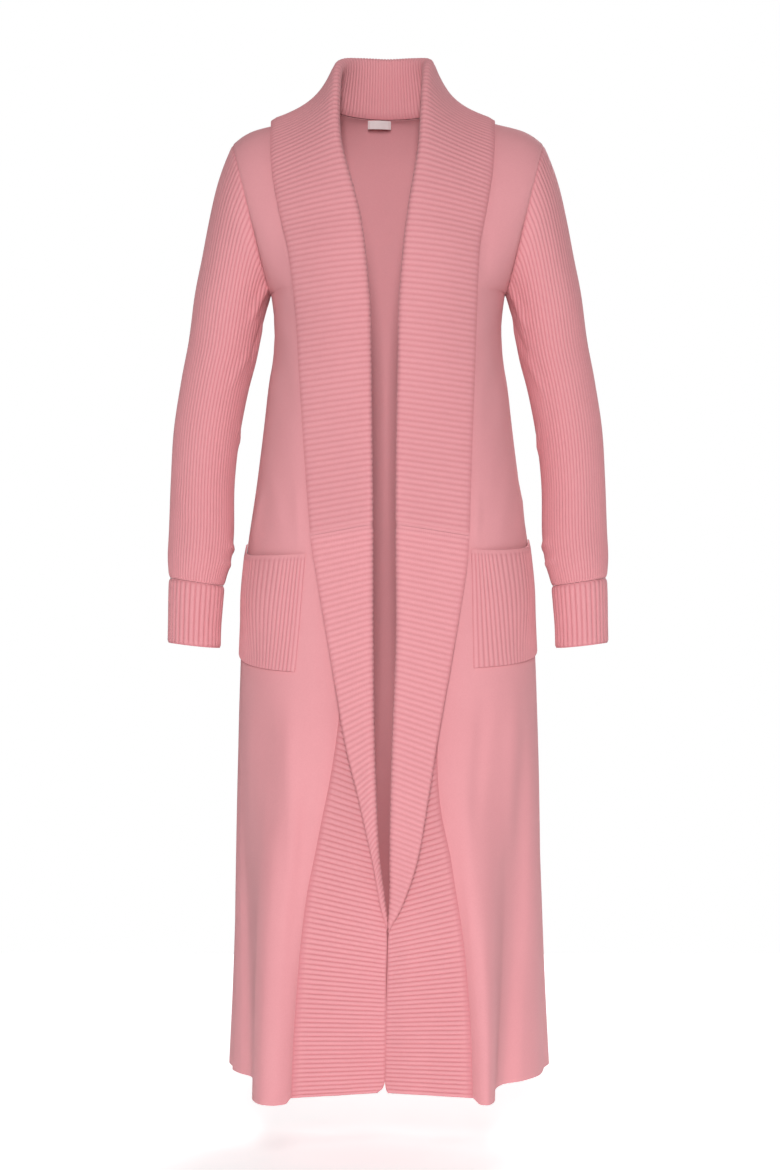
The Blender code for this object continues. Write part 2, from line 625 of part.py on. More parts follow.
def make_front_band(side, name):
    """The lower front band, from the hem to the join, turned over above the break.

    Its ribs stand on the outer face below the break and beside the lapel, and on the inner face,
    which the lapel shows, above the break.
    """
    top = JOIN_ROW - JOIN_GAP
    ribs = rib_rows(side, HEM_ROW, top)
    outer_columns = (  # place, close rows from and to, ribs from and to
        ("seam", HEM_ROW, COVERED_ROW, HEM_ROW, COVERED_ROW),
        ("before", HEM_ROW, COVERED_ROW, HEM_ROW, COVERED_ROW),
        ("after", HEM_ROW, FOLDED_ROW, HEM_ROW, OPEN_ROW),
        ("edge", HEM_ROW, FOLDED_ROW, HEM_ROW, OPEN_ROW),
    )
    inner_columns = (
        ("seam", None, None, HEM_ROW, HEM_ROW),
        ("before", OPEN_ROW, JOIN_ROW, BREAK_ROW, JOIN_ROW),
        ("after", OPEN_ROW, JOIN_ROW, BREAK_ROW, JOIN_ROW),
        ("edge", OPEN_ROW, JOIN_ROW, BREAK_ROW, JOIN_ROW),
    )

    def columns(table):
        made = []
        for place, low, high, rib_low, rib_high in table:
            rim = place in ("seam", "edge")
            plain = np.append(np.arange(HEM_ROW, JOIN_ROW, RIM_ROW_STEP if rim else BAND_ROW_STEP), top)
            rows, crest = (plain, 0 * plain) if low is None else rib_stretch(ribs, plain, low, high)
            crest = crest * (rows >= rib_low) * (rows <= rib_high)
            made.append((rows, band_places(side, rows)[place], crest * (RIM_RIB if rim else BAND_RIB)))
        return made

    def surface(s, w):
        return band(side, s, w)

    def through(s, w, inward):
        return through_band(side, s, w, inward)

    return wall(name, surface, RIBBING, columns(outer_columns), columns(inner_columns), -side, through)


def make_collar():
    """The shawl collar, from one join round the back neck to the other, with its ribs on the face that shows.

    Its place along is counted in rows of BAND from the middle of the back neck, less than 0 on the left.
    """
    span = BACK_ROW - JOIN_ROW - JOIN_GAP
    ribs = {side: BACK_ROW - rib_rows(side, BACK_ROW - span, BACK_ROW)[::-1] for side in (LEFT, RIGHT)}
    rows = np.concatenate([-ribs[LEFT][::-1], ribs[RIGHT][1:]])

    def both(function, along, *more):
        s = BACK_ROW - np.abs(along)
        left, right = function(LEFT, s, *more), function(RIGHT, s, *more)
        return np.where((along < 0)[:, None], left, right)

    def surface(along, w):
        return both(band, along, w)

    def through(along, w, inward):
        return both(through_band, along, w, inward)

    def places(along, place):
        s = BACK_ROW - np.abs(along)
        return np.where(along < 0, band_places(LEFT, s)[place], band_places(RIGHT, s)[place])

    outer, inner = [], []
    for place in ("seam", "before", "after", "middle", "edge"):
        rim = place in ("seam", "edge")
        steps = round(span / (RIM_ROW_STEP if rim else BAND_ROW_STEP))
        plain = np.linspace(-span, span, 2 * steps + 1)
        outer.append((plain, places(plain, place), 0.0))
        reach = BACK_ROW - THROAT_ROW if place == "seam" else span
        along, crest = rib_stretch(rows, plain, -reach, reach)
        inner.append((along, places(along, place), crest * (RIM_RIB if rim else BAND_RIB)))
    return wall("shawl_collar", surface, RIBBING, outer, inner, 1, through)


def make_pocket(side, name):
    """A patch pocket in rib: the front panel's own points, moved out, with room for a hand behind it."""
    top, bottom = np.array(POCKET_TOP[side]), np.array(POCKET_BOTTOM[side])

    def surface(up, across):
        top_u, top_z = (curve(np.linspace(0, 1, len(top)), top[:, k], across) for k in (0, 1))
        low_u, low_z = (curve(np.linspace(0, 1, len(bottom)), bottom[:, k], across) for k in (0, 1))
        u, z = low_u + (top_u - low_u) * up, low_z + (top_z - low_z) * up
        v = (z - HEM_Z) / (ARMPIT_Z - HEM_Z)
        step = 1e-4
        run = front(side, u, v + step) - front(side, u, v - step)
        over = front(side, u + step, v) - front(side, u - step, v)
        out = -side * unit(np.cross(over, run))
        bulge = POCKET_BULGE * np.sin(math.pi * np.clip(across, 0, 1)) ** 0.7 * ease(up / 0.75)
        return front(side, u, v) + out * (RIBBING + 3 * SEAM + bulge)[..., None]

    rows, ribbed = np.array(POCKET_ROWS).T
    across = np.linspace(0, 1, 2 * POCKET_RIBS + 1)
    outer = [(rows, a, POCKET_RIB * (i % 2) * ribbed) for i, a in enumerate(across)]
    return wall(name, surface, RIBBING, outer, grid(rows, np.linspace(0, 1, 12)), -side)


def make_label():
    """The neck label: a small woven strip, sewn by its ends below the back neck seam, bowed off the cloth."""

    def surface(down, across):
        x = LABEL_MIDDLE + LABEL_WIDTH * (across - 0.5)
        z = LABEL_TOP_Z - LABEL_HEIGHT * down
        middle = curve(UPPER_BACK[:, 0], UPPER_BACK[:, 1], z) - LABEL_SINK
        behind = middle * np.sqrt(1 - (x / LABEL_OVAL) ** 2)
        bow = LABEL_BOW * np.sin(math.pi * np.clip(across, 0, 1))
        return np.stack([x, behind - SEAM - bow, z], -1)

    rows, across = np.linspace(0, 1, 3), np.linspace(0, 1, 9)
    return wall("neck_label", surface, -LABEL_THICK, grid(rows, across), grid(rows, across), 1)


for old in list(bpy.data.objects):
    bpy.data.objects.remove(old)
garment = bpy.data.collections.new("duster_cardigan")
bpy.context.scene.collection.children.link(garment)

for side, word in SIDES:
    make_front(side, f"front_{word}")
    make_tube(f"sleeve_{word}", side, SLEEVE_RINGS, JERSEY, SLEEVE_RIBS, SLEEVE_RIB, SLEEVE_ROWS, True)
    make_tube(f"cuff_{word}", side, CUFF_RINGS, RIBBING, CUFF_RIBS, CUFF_RIB, CUFF_ROWS, False)
    make_front_band(side, f"front_band_{word}")
    make_pocket(side, f"pocket_{word}")
make_back()
make_collar()
for made in garment.objects:
    made.data.materials.append(material(f"{made.name}_knit", PINK, 0.9))
make_label().data.materials.append(material("label_weave", LABEL_WHITE, 0.5))
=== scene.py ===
"""The looks of a long open duster cardigan in fine pink knit, worn by nobody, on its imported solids.

Metres, +Z up, the front faces -Y. Left and right are the viewer's. Tables are in millimetres.
"""

import math

import bpy
import numpy as np
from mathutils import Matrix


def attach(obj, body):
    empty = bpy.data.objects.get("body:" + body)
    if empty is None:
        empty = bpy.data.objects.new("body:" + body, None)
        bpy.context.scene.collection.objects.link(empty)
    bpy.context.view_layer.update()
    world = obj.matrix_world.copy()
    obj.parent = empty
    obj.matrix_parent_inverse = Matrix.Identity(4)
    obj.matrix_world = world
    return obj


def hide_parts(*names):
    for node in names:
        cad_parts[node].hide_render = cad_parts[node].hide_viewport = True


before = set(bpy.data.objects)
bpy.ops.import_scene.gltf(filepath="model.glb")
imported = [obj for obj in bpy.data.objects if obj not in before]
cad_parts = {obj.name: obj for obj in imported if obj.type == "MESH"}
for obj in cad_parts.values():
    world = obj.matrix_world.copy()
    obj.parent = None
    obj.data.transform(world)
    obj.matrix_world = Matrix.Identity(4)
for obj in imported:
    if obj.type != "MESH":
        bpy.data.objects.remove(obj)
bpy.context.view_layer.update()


# Front panels
# Plain fine jersey, one piece on each side from the shoulder to the hem. Each is sewn to the back at the
# shoulder and the side, fills out over the chest, and hangs in one deep flute beside the band.
LEFT, RIGHT = -1, 1
SIDES = ((LEFT, "left"), (RIGHT, "right"))
HEM_Z, ARMPIT_Z, NECK_Z = -1.206, -0.238, -0.001
NECK_WIDTH, NECK_DEPTH, NECK_DROP = 0.072, 0.055, 0.007
SHOULDER_ROUND, ROUND_POWER = 0.008, 3  # the swell towards the shoulder's end
JERSEY, PRESSED = 0.0016, 0.0005  # the wall's thickness, and where a seam presses it flat
SEAM_DIP, SEAM_REACH = 0.0009, 0.0035  # how deep and how wide a sewn edge sinks
BAND_SEAM = 0.003  # added to distances from the bands' seam, which sinks less
SEAM_GAP = 0.0003  # between two pieces that are sewn together
SIDE_RUN, BAND_RUN, TOP_RUN = 0.14, 0.13, 0.24  # metres to one of u by the side and the band, and of v
EDGE_MARGIN = 0.01  # outward directions are taken inside it
PANEL_TOP = 1.9993  # v of a panel's last row
FRONT_CELLS = (150, 84)  # up the panel and across it
COARSE = 2  # step of a wall's inner grid
SHARP_ANGLE = 60  # degrees
FOLD_HOLLOW, FOLD_ENDS = 0.55, 3  # the hollows beside a fold, and how fast it rises
JERSEY_WALE, JERSEY_COURSE = 0.0017, 0.0013
PINK = (0.752, 0.330, 0.357, 1)
# A darker pink: the yarn's own darker tone at random, and painted shade in the knit's furrows.
PINK_MOTTLE_AND_SHADE = (0.56, 0.178, 0.203, 1)
LOOP_SLANT, LOOP_WAVE, LOOP_LEVEL = 1.2, 0.3, 0.6  # the legs' lean, and their height along the wale
LOOP_BUMP, LOOP_HEIGHT, FUZZ_HEIGHT = 0.5, 0.0005, 0.7  # metres, and the fibres' share of them
CLOUD_SCALE, CLOUD_DETAIL, CLOUD_SHARE = 11, 3, 0.16
FIBRE_SCALE, FIBRE_DETAIL, FIBRE_SHARE = 620, 2, 0.26
FURROW_SHADE_SHARE, FIRST_SHARE = 0.6, -0.13  # painted shade: the darker colour's share in a rib's furrow; and its share before all the rest
YARN_ROUGHNESS, FIBRE_ROUGHNESS, YARN_SPECULAR = 0.75, 0.2, 0.12
SHEEN, SHEEN_ROUGHNESS, SHEEN_TINT = 0.22, 0.45, (1, 0.72, 0.74, 1)
ARMHOLE = (170, 0, -144, 96.8, 66, 76.3)  # middle x, y, z, half width, half depth, tilt in degrees

GIRTH = (  # height, half width, back
    (-1206, 195, 150),
    (-1119, 193, 146),
    (-969, 191, 140),
    (-819, 188, 132),
    (-669, 183, 124),
    (-569, 177, 112),
    (-469, 163, 98),
    (-369, 151, 93),
    (-269, 142, 96),
    (-238, 146, 99),
)
FRONT_SEAM = (  # height, left from the middle, right from the middle, depth
    (-1206, 114, 100, -172),
    (-1135, 111.5, 98.5, -158),
    (-1078, 108, 95, -146),
    (-1013, 102, 88.5, -136),
    (-966, 96, 81, -130),
    (-921, 87, 74, -126),
    (-880, 79, 65, -123),
    (-841, 71, 60.5, -121),
    (-769, 60, 60, -119),
    (-530, 62, 62, -115),
    (-330, 66, 66, -116),
    (-250, 68, 68, -114),
    (-180, 69.5, 69.5, -105),
    (-120, 71, 71, -87),
    (-70, 72, 72, -61),
    (-30, 72, 72, -30),
    (-1, 72, 72, 0),
)
HEM_FLUTE = {
    LEFT: (  # place across the panel in thousandths, from the middle, depth
        (0, 195, 0),
        (140, 183, -24),
        (260, 168, -46),
        (360, 163, -80),
        (460, 162, -120),
        (560, 161, -156),
        (660, 152, -182),
        (780, 135, -191),
        (900, 121, -183),
        (1000, 114, -172),
    ),
    RIGHT: (
        (0, 195, 0),
        (120, 186, -37),
        (250, 166, -67),
        (400, 139, -87),
        (500, 130, -108),
        (600, 128, -140),
        (700, 126, -168),
        (800, 119, -187),
        (900, 109, -186),
        (1000, 100, -172),
    ),
}
FLUTE_TOP = {LEFT: -0.66, RIGHT: -0.74}
FLUTE_POWER = 1.15  # how late the flute grows
FLUTE_DIP, DIP_START, DIP_REACH, DIP_EDGE = 0.005, 0.05, 0.12, 0.1  # how far the hem hangs lower on it
FRONT_FOLDS = {  # from (middle, height) to (middle, height), half width, lift
    LEFT: (
        (143, -262, 104, -318, 9, 2.6),
        (146, -300, 112, -392, 11, -1.9),
        (150, -430, 128, -540, 10, 1.7),
        (152, -474, 168, -552, 6, 1.9),
        (112, -470, 106, -556, 7, 1.3),
        (172, -716, 168, -1010, 13, 3.1),
        (148, -726, 140, -930, 15, -2.6),
        (120, -722, 112, -980, 11, 2.4),
        (92, -780, 118, -1090, 12, -2.0),
        (128, -170, 110, -232, 10, 1.6),
    ),
    RIGHT: (
        (141, -258, 100, -300, 8, 2.4),
        (145, -296, 116, -420, 12, -1.7),
        (156, -450, 132, -548, 9, 1.4),
        (168, -470, 160, -546, 6, 1.7),
        (110, -488, 104, -553, 7, 1.6),
        (158, -712, 140, -960, 14, 3.4),
        (176, -730, 178, -1120, 12, 2.6),
        (118, -716, 104, -900, 12, -2.3),
        (86, -800, 108, -1080, 11, 1.8),
        (126, -160, 112, -236, 11, -1.4),
    ),
}


def mm(table):
    """A table in millimetres as metres."""
    return np.array(table, float) * 0.001


def curve(knots, values, at):
    """A smooth curve through values at rising knots: cubic pieces, sloped by each knot's neighbours."""
    knots, values, at = np.asarray(knots, float), np.asarray(values, float), np.asarray(at, float)
    slope = np.gradient(values, knots, axis=0)
    i = np.clip(np.searchsorted(knots, at, side="right") - 1, 0, len(knots) - 2)
    step = knots[i + 1] - knots[i]
    t = np.clip((at - knots[i]) / step, 0, 1)
    if values.ndim > 1:
        step, t = step[..., None], t[..., None]
    ends = values[i] * (1 + 2 * t) * (1 - t) ** 2 + values[i + 1] * t * t * (3 - 2 * t)
    return ends + slope[i] * step * t * (1 - t) ** 2 - slope[i + 1] * step * t * t * (1 - t)


def read(table, at):
    """The smooth curve through a table in millimetres, whose first column rises."""
    table = mm(table)
    return curve(table[:, 0], table[:, 1:], at)


def ease(t):
    """0 to 1 with level ends: three t squared less two t cubed."""
    t = np.clip(t, 0, 1)
    return t * t * (3 - 2 * t)


def unit(v):
    """Vectors divided by their lengths."""
    return v / np.maximum(np.linalg.norm(v, axis=-1, keepdims=True), 1e-12)


def girth(z):
    """Half the body's width and the back's depth at a height below the armpit."""
    return read(GIRTH, z)


def height(v):
    """A panel's height at v: even steps from the hem (0) to the armpit (1), and even ones to the neck (2)."""
    low = HEM_Z + (ARMPIT_Z - HEM_Z) * np.clip(v, 0, 1)
    return low + (NECK_Z - ARMPIT_Z) * np.clip(v - 1, 0, 1)


def front_seam(side, z):
    """The line where a front panel meets its band: a smooth curve through the table's heights."""
    found = read(FRONT_SEAM, z)
    x = found[..., 0] if side == LEFT else found[..., 1]
    return np.stack([side * x, found[..., 2], z + 0 * x], -1)


def ring(side, row, turn):
    """A tilted oval: its middle, plus half its width times the cosine and half its depth times the sine."""
    tilt = np.radians(row[..., 5])
    across = row[..., 3] * 0.001 * np.cos(turn)
    x = row[..., 0] * 0.001 + across * np.cos(tilt)
    y = row[..., 1] * 0.001 - row[..., 4] * 0.001 * np.sin(turn)
    z = row[..., 2] * 0.001 + across * np.sin(tilt)
    return np.stack([side * x, y, z], -1)


def armhole(side, turn):
    """The armhole's outline, a tilted oval."""
    return ring(side, np.broadcast_to(np.array(ARMHOLE, float), np.shape(turn) + (6,)), turn)


def front_plain(side, u, v):
    """A front panel without its flute: a quarter oval from the side seam (u = 0) to the band (u = 1)."""
    up = np.clip(v - 1, 0, 1)
    seam = front_seam(side, height(v))
    half = girth(height(v))[..., 0]
    low = np.stack([side * half, 0 * half - SEAM_GAP / 2, height(v)], -1)
    outer = np.where((v <= 1)[..., None], low, armhole(side, math.pi * (1 - up)))
    turn = u * math.pi / 2
    x = seam[..., 0] + (outer[..., 0] - seam[..., 0]) * np.cos(turn)
    y = outer[..., 1] + (seam[..., 1] - outer[..., 1]) * np.sin(turn)
    z = seam[..., 2] + (outer[..., 2] - seam[..., 2]) * np.cos(turn)
    share = np.clip((np.abs(x) - NECK_WIDTH) / (np.abs(outer[..., 0]) - NECK_WIDTH), 0, 1)
    swell = SHOULDER_ROUND * np.sin(math.pi * share**ROUND_POWER) * up**ROUND_POWER
    return np.stack([x, y, z + swell], -1)


def front(side, v, u):
    """A front panel: the quarter oval, moved below the hips by a growing share to the flute at the hem."""
    u, v = np.broadcast_arrays(np.asarray(u, float), np.asarray(v, float))
    goal = read(HEM_FLUTE[side], u)
    plain = front_plain(side, u, 0 * u)
    rise = np.clip((FLUTE_TOP[side] - height(v)) / (FLUTE_TOP[side] - HEM_Z), 0, 1) ** FLUTE_POWER
    dip = FLUTE_DIP * ease((-goal[..., 1] - DIP_START) / DIP_REACH) * ease(rise)
    drop = -dip * ease((1 - u) / DIP_EDGE) / np.maximum(rise, 1e-6)
    move = np.stack([side * goal[..., 0] - plain[..., 0], goal[..., 1] - plain[..., 1], drop], -1)
    return front_plain(side, u, v) + move * rise[..., None]


def facing(surface, a, b, hand, margin=(EDGE_MARGIN, 1 - EDGE_MARGIN)):
    """Outward directions of a surface: the cross product of its two slopes, taken over a small step."""
    step = 1e-4
    b = b if margin is None else np.clip(b, *margin)
    run = surface(a + step, b) - surface(a - step, b)
    over = surface(a, b + step) - surface(a, b - step)
    return hand * unit(np.cross(over, run))


def folded(a, b, table, round_it=0):
    """How far folds lift the cloth at (a, b). Each runs straight from one place to another.

    Across it the cloth follows a bell curve with a slight dip on each side, and along it the
    height eases in and out over a third of its length. On a tube a is counted round its girth.
    """
    lift = 0 * a
    for a0, b0, a1, b1, half, high in mm(table):
        da, db = a - a0, b - b0
        if round_it:
            da = (da + round_it / 2) % round_it - round_it / 2
        run, rise = a1 - a0, b1 - b0
        long = math.hypot(run, rise)
        along = (da * run + db * rise) / long**2
        off = (da * rise - db * run) / long / half
        bell = np.exp(-off * off) * (1 - FOLD_HOLLOW * off * off)
        lift = lift + high * bell * ease(along * FOLD_ENDS) * ease((1 - along) * FOLD_ENDS)
    return lift


def sunk(*distances):
    """How far cloth sinks at its sewn edges: a bell curve of the distance to the nearest of them."""
    near = np.min(np.broadcast_arrays(*distances), axis=0)
    return -SEAM_DIP * np.exp(-((near / SEAM_REACH) ** 2))


def pressed(thick, *distances):
    """The wall's thickness, which thins towards its sewn edges."""
    near = np.min(np.broadcast_arrays(*distances), axis=0)
    return PRESSED + (thick - PRESSED) * ease(near / (2 * SEAM_REACH))


def in_scene(name, data):
    """A new object with this mesh, lamp or camera, in the scene."""
    made = bpy.data.objects.new(name, data)
    bpy.context.scene.collection.objects.link(made)
    return made


def shell(name, outer, inner, furrow_shade=None, loop=False):
    """A closed wall of two grids of points. The inner grid may be coarser, and rims join the two.

    Rows and columns are the outer grid's. Each corner of a face is a row, a column and a side of the
    wall, from which its point and its place in the cloth, in metres, are both worked out.
    """
    rows, columns = outer.shape[:2]
    low_rows, low_columns = inner.shape[:2]
    wide = columns if loop else columns - 1
    step_r = (rows - 1) // (low_rows - 1)
    step_c = wide // (low_columns if loop else low_columns - 1)
    girdle = np.concatenate([outer[rows // 2], outer[rows // 2, :1]]) if loop else outer[rows // 2]
    run_over = np.append(0, np.cumsum(np.linalg.norm(np.diff(girdle, axis=0), axis=1)))
    run_along = np.append(0, np.cumsum(np.linalg.norm(np.diff(outer[:, columns // 2], axis=0), axis=1)))
    place = np.stack(np.meshgrid(run_over, run_along), -1).reshape(-1, 2)
    faces, places = [], []

    def add(r, c, inside, turned):
        """Adds faces by their corners' rows, columns and sides of the wall."""
        low = rows * columns + r // step_r * low_columns + c // step_c % low_columns
        ids = np.where(inside, low, r * columns + c % columns)
        where = r * (wide + 1) + c
        faces.append(ids[:, ::-1] if turned else ids)
        places.append(where[:, ::-1] if turned else where)

    for sr, sc, inside in ((1, 1, False), (step_r, step_c, True)):
        r, c = np.meshgrid(np.arange(0, rows - 1, sr), np.arange(0, wide, sc), indexing="ij")
        r, c = r.reshape(-1, 1) + sr * np.array([0, 0, 1, 1]), c.reshape(-1, 1) + sc * np.array([0, 1, 1, 0])
        add(r, c, inside, inside)
    c = np.arange(0, wide, step_c)[:, None]
    c = np.concatenate([c + np.arange(step_c + 1), c + step_c, c], 1)
    for row in (0, rows - 1):
        add(0 * c + row, c, np.arange(step_c + 3) > step_c, row == 0)
    if not loop:
        r = np.arange(0, rows - 1, step_r)[:, None]
        r = np.concatenate([r + np.arange(step_r + 1), r + step_r, r], 1)
        for column in (0, wide):
            add(r, 0 * r + column, np.arange(step_r + 3) > step_r, column > 0)

    points = np.concatenate([outer.reshape(-1, 3), inner.reshape(-1, 3)])
    first, second, third = (np.concatenate([f[:, k] for f in faces]) for k in (0, 1, 2))
    fourth = np.concatenate([f[:, 3] for f in faces])
    volume = np.sum(points[first] * np.cross(points[second], points[third]))
    volume += np.sum(points[first] * np.cross(points[third], points[fourth]))
    if volume < 0:
        faces, places = [f[:, ::-1] for f in faces], [p[:, ::-1] for p in places]
    mesh = bpy.data.meshes.new(name)
    mesh.from_pydata(points.tolist(), [], [face for block in faces for face in block.tolist()])
    corners = place[np.concatenate([p.ravel() for p in places])]
    mesh.uv_layers.new(name="cloth").data.foreach_set("uv", corners.ravel())
    # Each point's painted shade: darker colour in the ribs' furrows, none where no values are given.
    depth = np.zeros(len(points)) if furrow_shade is None else np.concatenate([h.ravel() for h in furrow_shade])
    mesh.attributes.new("furrow_shade", "FLOAT", "POINT").data.foreach_set("value", depth)
    mesh.shade_smooth()
    mesh.set_sharp_from_angle(angle=math.radians(SHARP_ANGLE))
    return in_scene(name, mesh)


def lattice(up, across):
    """Places in rows and columns, each given by its first one, its last one and its steps."""
    places = (np.linspace(first, last, steps + 1) for first, last, steps in (up, across))
    return np.meshgrid(*places, indexing="ij")


def jersey_wall(name, points, out, sewn, by_band):
    """A plain wall behind its outer points, sunk at all its seams and pressed flat at the sewn ones."""
    outer = points + out * sunk(*sewn, *by_band)[..., None]
    inner = outer - out * pressed(JERSEY, *sewn)[..., None]
    return shell(name, outer, inner[::COARSE, ::COARSE])


def wear(made, node, look):
    """Puts a finished piece in the place of its solid, with its material."""
    made.data.materials.append(look)
    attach(made, "root")
    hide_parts(node)


def node_group(name, inputs, outputs):
    """An empty node group with its named inputs (name, kind, value) and outputs (name, kind)."""
    made = bpy.data.node_groups.new(name, "ShaderNodeTree")
    for label, kind, value in inputs:
        socket = made.interface.new_socket(label, in_out="INPUT", socket_type=kind)
        if value is not None:
            socket.default_value = value
    for label, kind in outputs:
        made.interface.new_socket(label, in_out="OUTPUT", socket_type=kind)
    return made, made.nodes.new("NodeGroupInput"), made.nodes.new("NodeGroupOutput")


def settle(node, values):
    """Sets the unlinked inputs of a node by their names."""
    for label, value in values.items():
        node.inputs[label].default_value = value


def calc(tree, operation, *values):
    """A Math node fed by numbers or sockets."""
    node = tree.nodes.new("ShaderNodeMath")
    node.operation = operation
    for socket, value in zip(node.inputs, values):
        if isinstance(value, bpy.types.NodeSocket):
            tree.links.new(value, socket)
        else:
            socket.default_value = value
    return node.outputs[0]


def noise(tree, place, scale, detail):
    """A Noise Texture's value at a place."""
    node = tree.nodes.new("ShaderNodeTexNoise")
    settle(node, {"Scale": scale, "Detail": detail})
    tree.links.new(place, node.inputs["Vector"])
    return node.outputs["Fac"]


def blend_colour(tree, share, one, two):
    """A Mix node between two colours, each a value or a socket."""
    node = tree.nodes.new("ShaderNodeMix")
    node.data_type = "RGBA"
    tree.links.new(share, node.inputs["Factor"])
    for socket, value in ((node.inputs[6], one), (node.inputs[7], two)):
        if isinstance(value, bpy.types.NodeSocket):
            tree.links.new(value, socket)
        else:
            socket.default_value = value
    return node.outputs[2]


def knit_loops():
    """Knitted loops: in each wale two legs lean together, so the rows step down from the wale's middle."""
    inputs = (
        ("Place", "NodeSocketVector", None),
        ("Wale", "NodeSocketFloat", JERSEY_WALE),
        ("Course", "NodeSocketFloat", JERSEY_COURSE),
    )
    tree, start, end = node_group("knit_loops", inputs, (("Height", "NodeSocketFloat"),))
    apart = tree.nodes.new("ShaderNodeSeparateXYZ")
    tree.links.new(start.outputs["Place"], apart.inputs[0])
    wale = calc(tree, "DIVIDE", apart.outputs["X"], start.outputs["Wale"])
    course = calc(tree, "DIVIDE", apart.outputs["Y"], start.outputs["Course"])
    aside = calc(tree, "PINGPONG", wale, 0.5)
    leg = calc(tree, "SINE", calc(tree, "MULTIPLY", aside, 2 * math.pi))
    slant = calc(tree, "MULTIPLY_ADD", aside, LOOP_SLANT, course)
    wave = calc(tree, "SINE", calc(tree, "MULTIPLY", slant, 2 * math.pi))
    row = calc(tree, "MULTIPLY_ADD", wave, LOOP_WAVE, LOOP_LEVEL)
    tree.links.new(calc(tree, "MULTIPLY", leg, row), end.inputs["Height"])
    return tree


def yarn_colour():
    """Yarn colour: two colours mixed by painted shade in the knit's furrows, by soft clouds and by a fine
    melange of fibres.
    """
    inputs = (
        ("Place", "NodeSocketVector", None),
        ("Colour", "NodeSocketColor", PINK),
        ("Mottle_And_Shade", "NodeSocketColor", PINK_MOTTLE_AND_SHADE),
        ("Furrow_Shade", "NodeSocketFloat", 0.0),
    )
    outputs = (("Colour", "NodeSocketColor"), ("Roughness", "NodeSocketFloat"), ("Fuzz", "NodeSocketFloat"))
    tree, start, end = node_group("yarn_colour", inputs, outputs)
    clouds = noise(tree, start.outputs["Place"], CLOUD_SCALE, CLOUD_DETAIL)
    fibres = noise(tree, start.outputs["Place"], FIBRE_SCALE, FIBRE_DETAIL)
    # Painted shade: the darker colour's share grows in the ribs' furrows.
    share = calc(tree, "MULTIPLY_ADD", start.outputs["Furrow_Shade"], FURROW_SHADE_SHARE, FIRST_SHARE)
    share = calc(tree, "MULTIPLY_ADD", clouds, CLOUD_SHARE, share)
    share = calc(tree, "MULTIPLY_ADD", fibres, FIBRE_SHARE, share)
    share = calc(tree, "MINIMUM", calc(tree, "MAXIMUM", share, 0), 1)
    mixed = blend_colour(tree, share, start.outputs["Colour"], start.outputs["Mottle_And_Shade"])
    tree.links.new(mixed, end.inputs["Colour"])
    roughness = calc(tree, "MULTIPLY_ADD", fibres, FIBRE_ROUGHNESS, YARN_ROUGHNESS)
    tree.links.new(roughness, end.inputs["Roughness"])
    tree.links.new(fibres, end.inputs["Fuzz"])
    return tree


def new_material(name):
    """A material with its node tree, its shader and the output of the cloth's own places."""
    made = bpy.data.materials.new(name)
    made.use_nodes = True
    place = made.node_tree.nodes.new("ShaderNodeUVMap")
    place.uv_map = "cloth"
    return made, made.node_tree, made.node_tree.nodes["Principled BSDF"], place.outputs["UV"]


def knit_material(name, wale, course):
    """A dull, slightly downy knit: yarn colours with painted shade in the furrows, loops in the cloth's own
    places, and a soft sheen.
    """
    made, tree, shader, place = new_material(name)
    loops = tree.nodes.new("ShaderNodeGroup")
    loops.node_tree = bpy.data.node_groups.get("knit_loops") or knit_loops()
    settle(loops, {"Wale": wale, "Course": course})
    tree.links.new(place, loops.inputs["Place"])
    yarn = tree.nodes.new("ShaderNodeGroup")
    yarn.node_tree = bpy.data.node_groups.get("yarn_colour") or yarn_colour()
    where = tree.nodes.new("ShaderNodeTexCoord")
    tree.links.new(where.outputs["Object"], yarn.inputs["Place"])
    # Painted shade: a value stored at each point darkens the colour in the ribs' furrows.
    deep = tree.nodes.new("ShaderNodeAttribute")
    deep.attribute_name = "furrow_shade"
    tree.links.new(deep.outputs["Fac"], yarn.inputs["Furrow_Shade"])
    bump = tree.nodes.new("ShaderNodeBump")
    settle(bump, {"Strength": LOOP_BUMP, "Distance": LOOP_HEIGHT})
    raised = calc(tree, "MULTIPLY_ADD", yarn.outputs["Fuzz"], FUZZ_HEIGHT, loops.outputs["Height"])
    tree.links.new(raised, bump.inputs["Height"])
    tree.links.new(bump.outputs["Normal"], shader.inputs["Normal"])
    tree.links.new(yarn.outputs["Colour"], shader.inputs["Base Color"])
    tree.links.new(yarn.outputs["Roughness"], shader.inputs["Roughness"])
    settle(shader, {"Specular IOR Level": YARN_SPECULAR, "Sheen Weight": SHEEN})
    settle(shader, {"Sheen Roughness": SHEEN_ROUGHNESS, "Sheen Tint": SHEEN_TINT})
    return made


def front_cloth(side, v, u):
    """A front panel with its folds: the panel moved along its outward direction."""
    plain = front(side, v, u)
    out = facing(lambda a, b: front(side, a, b), v, u, -side)
    return plain + out * folded(side * plain[..., 0], plain[..., 2], FRONT_FOLDS[side])[..., None]


jersey = knit_material("fine_jersey", JERSEY_WALE, JERSEY_COURSE)
for side, word in SIDES:
    v, u = lattice((0, PANEL_TOP, FRONT_CELLS[0]), (0, 1, FRONT_CELLS[1]))
    out = facing(lambda a, b, side=side: front_cloth(side, a, b), v, u, -side)
    sewn, by_band = (u * SIDE_RUN, (2 - v) * TOP_RUN), ((1 - u) * BAND_RUN + BAND_SEAM,)
    made = jersey_wall(f"front_{word}_jersey", front_cloth(side, v, u), out, sewn, by_band)
    wear(made, f"front_{word}", jersey)


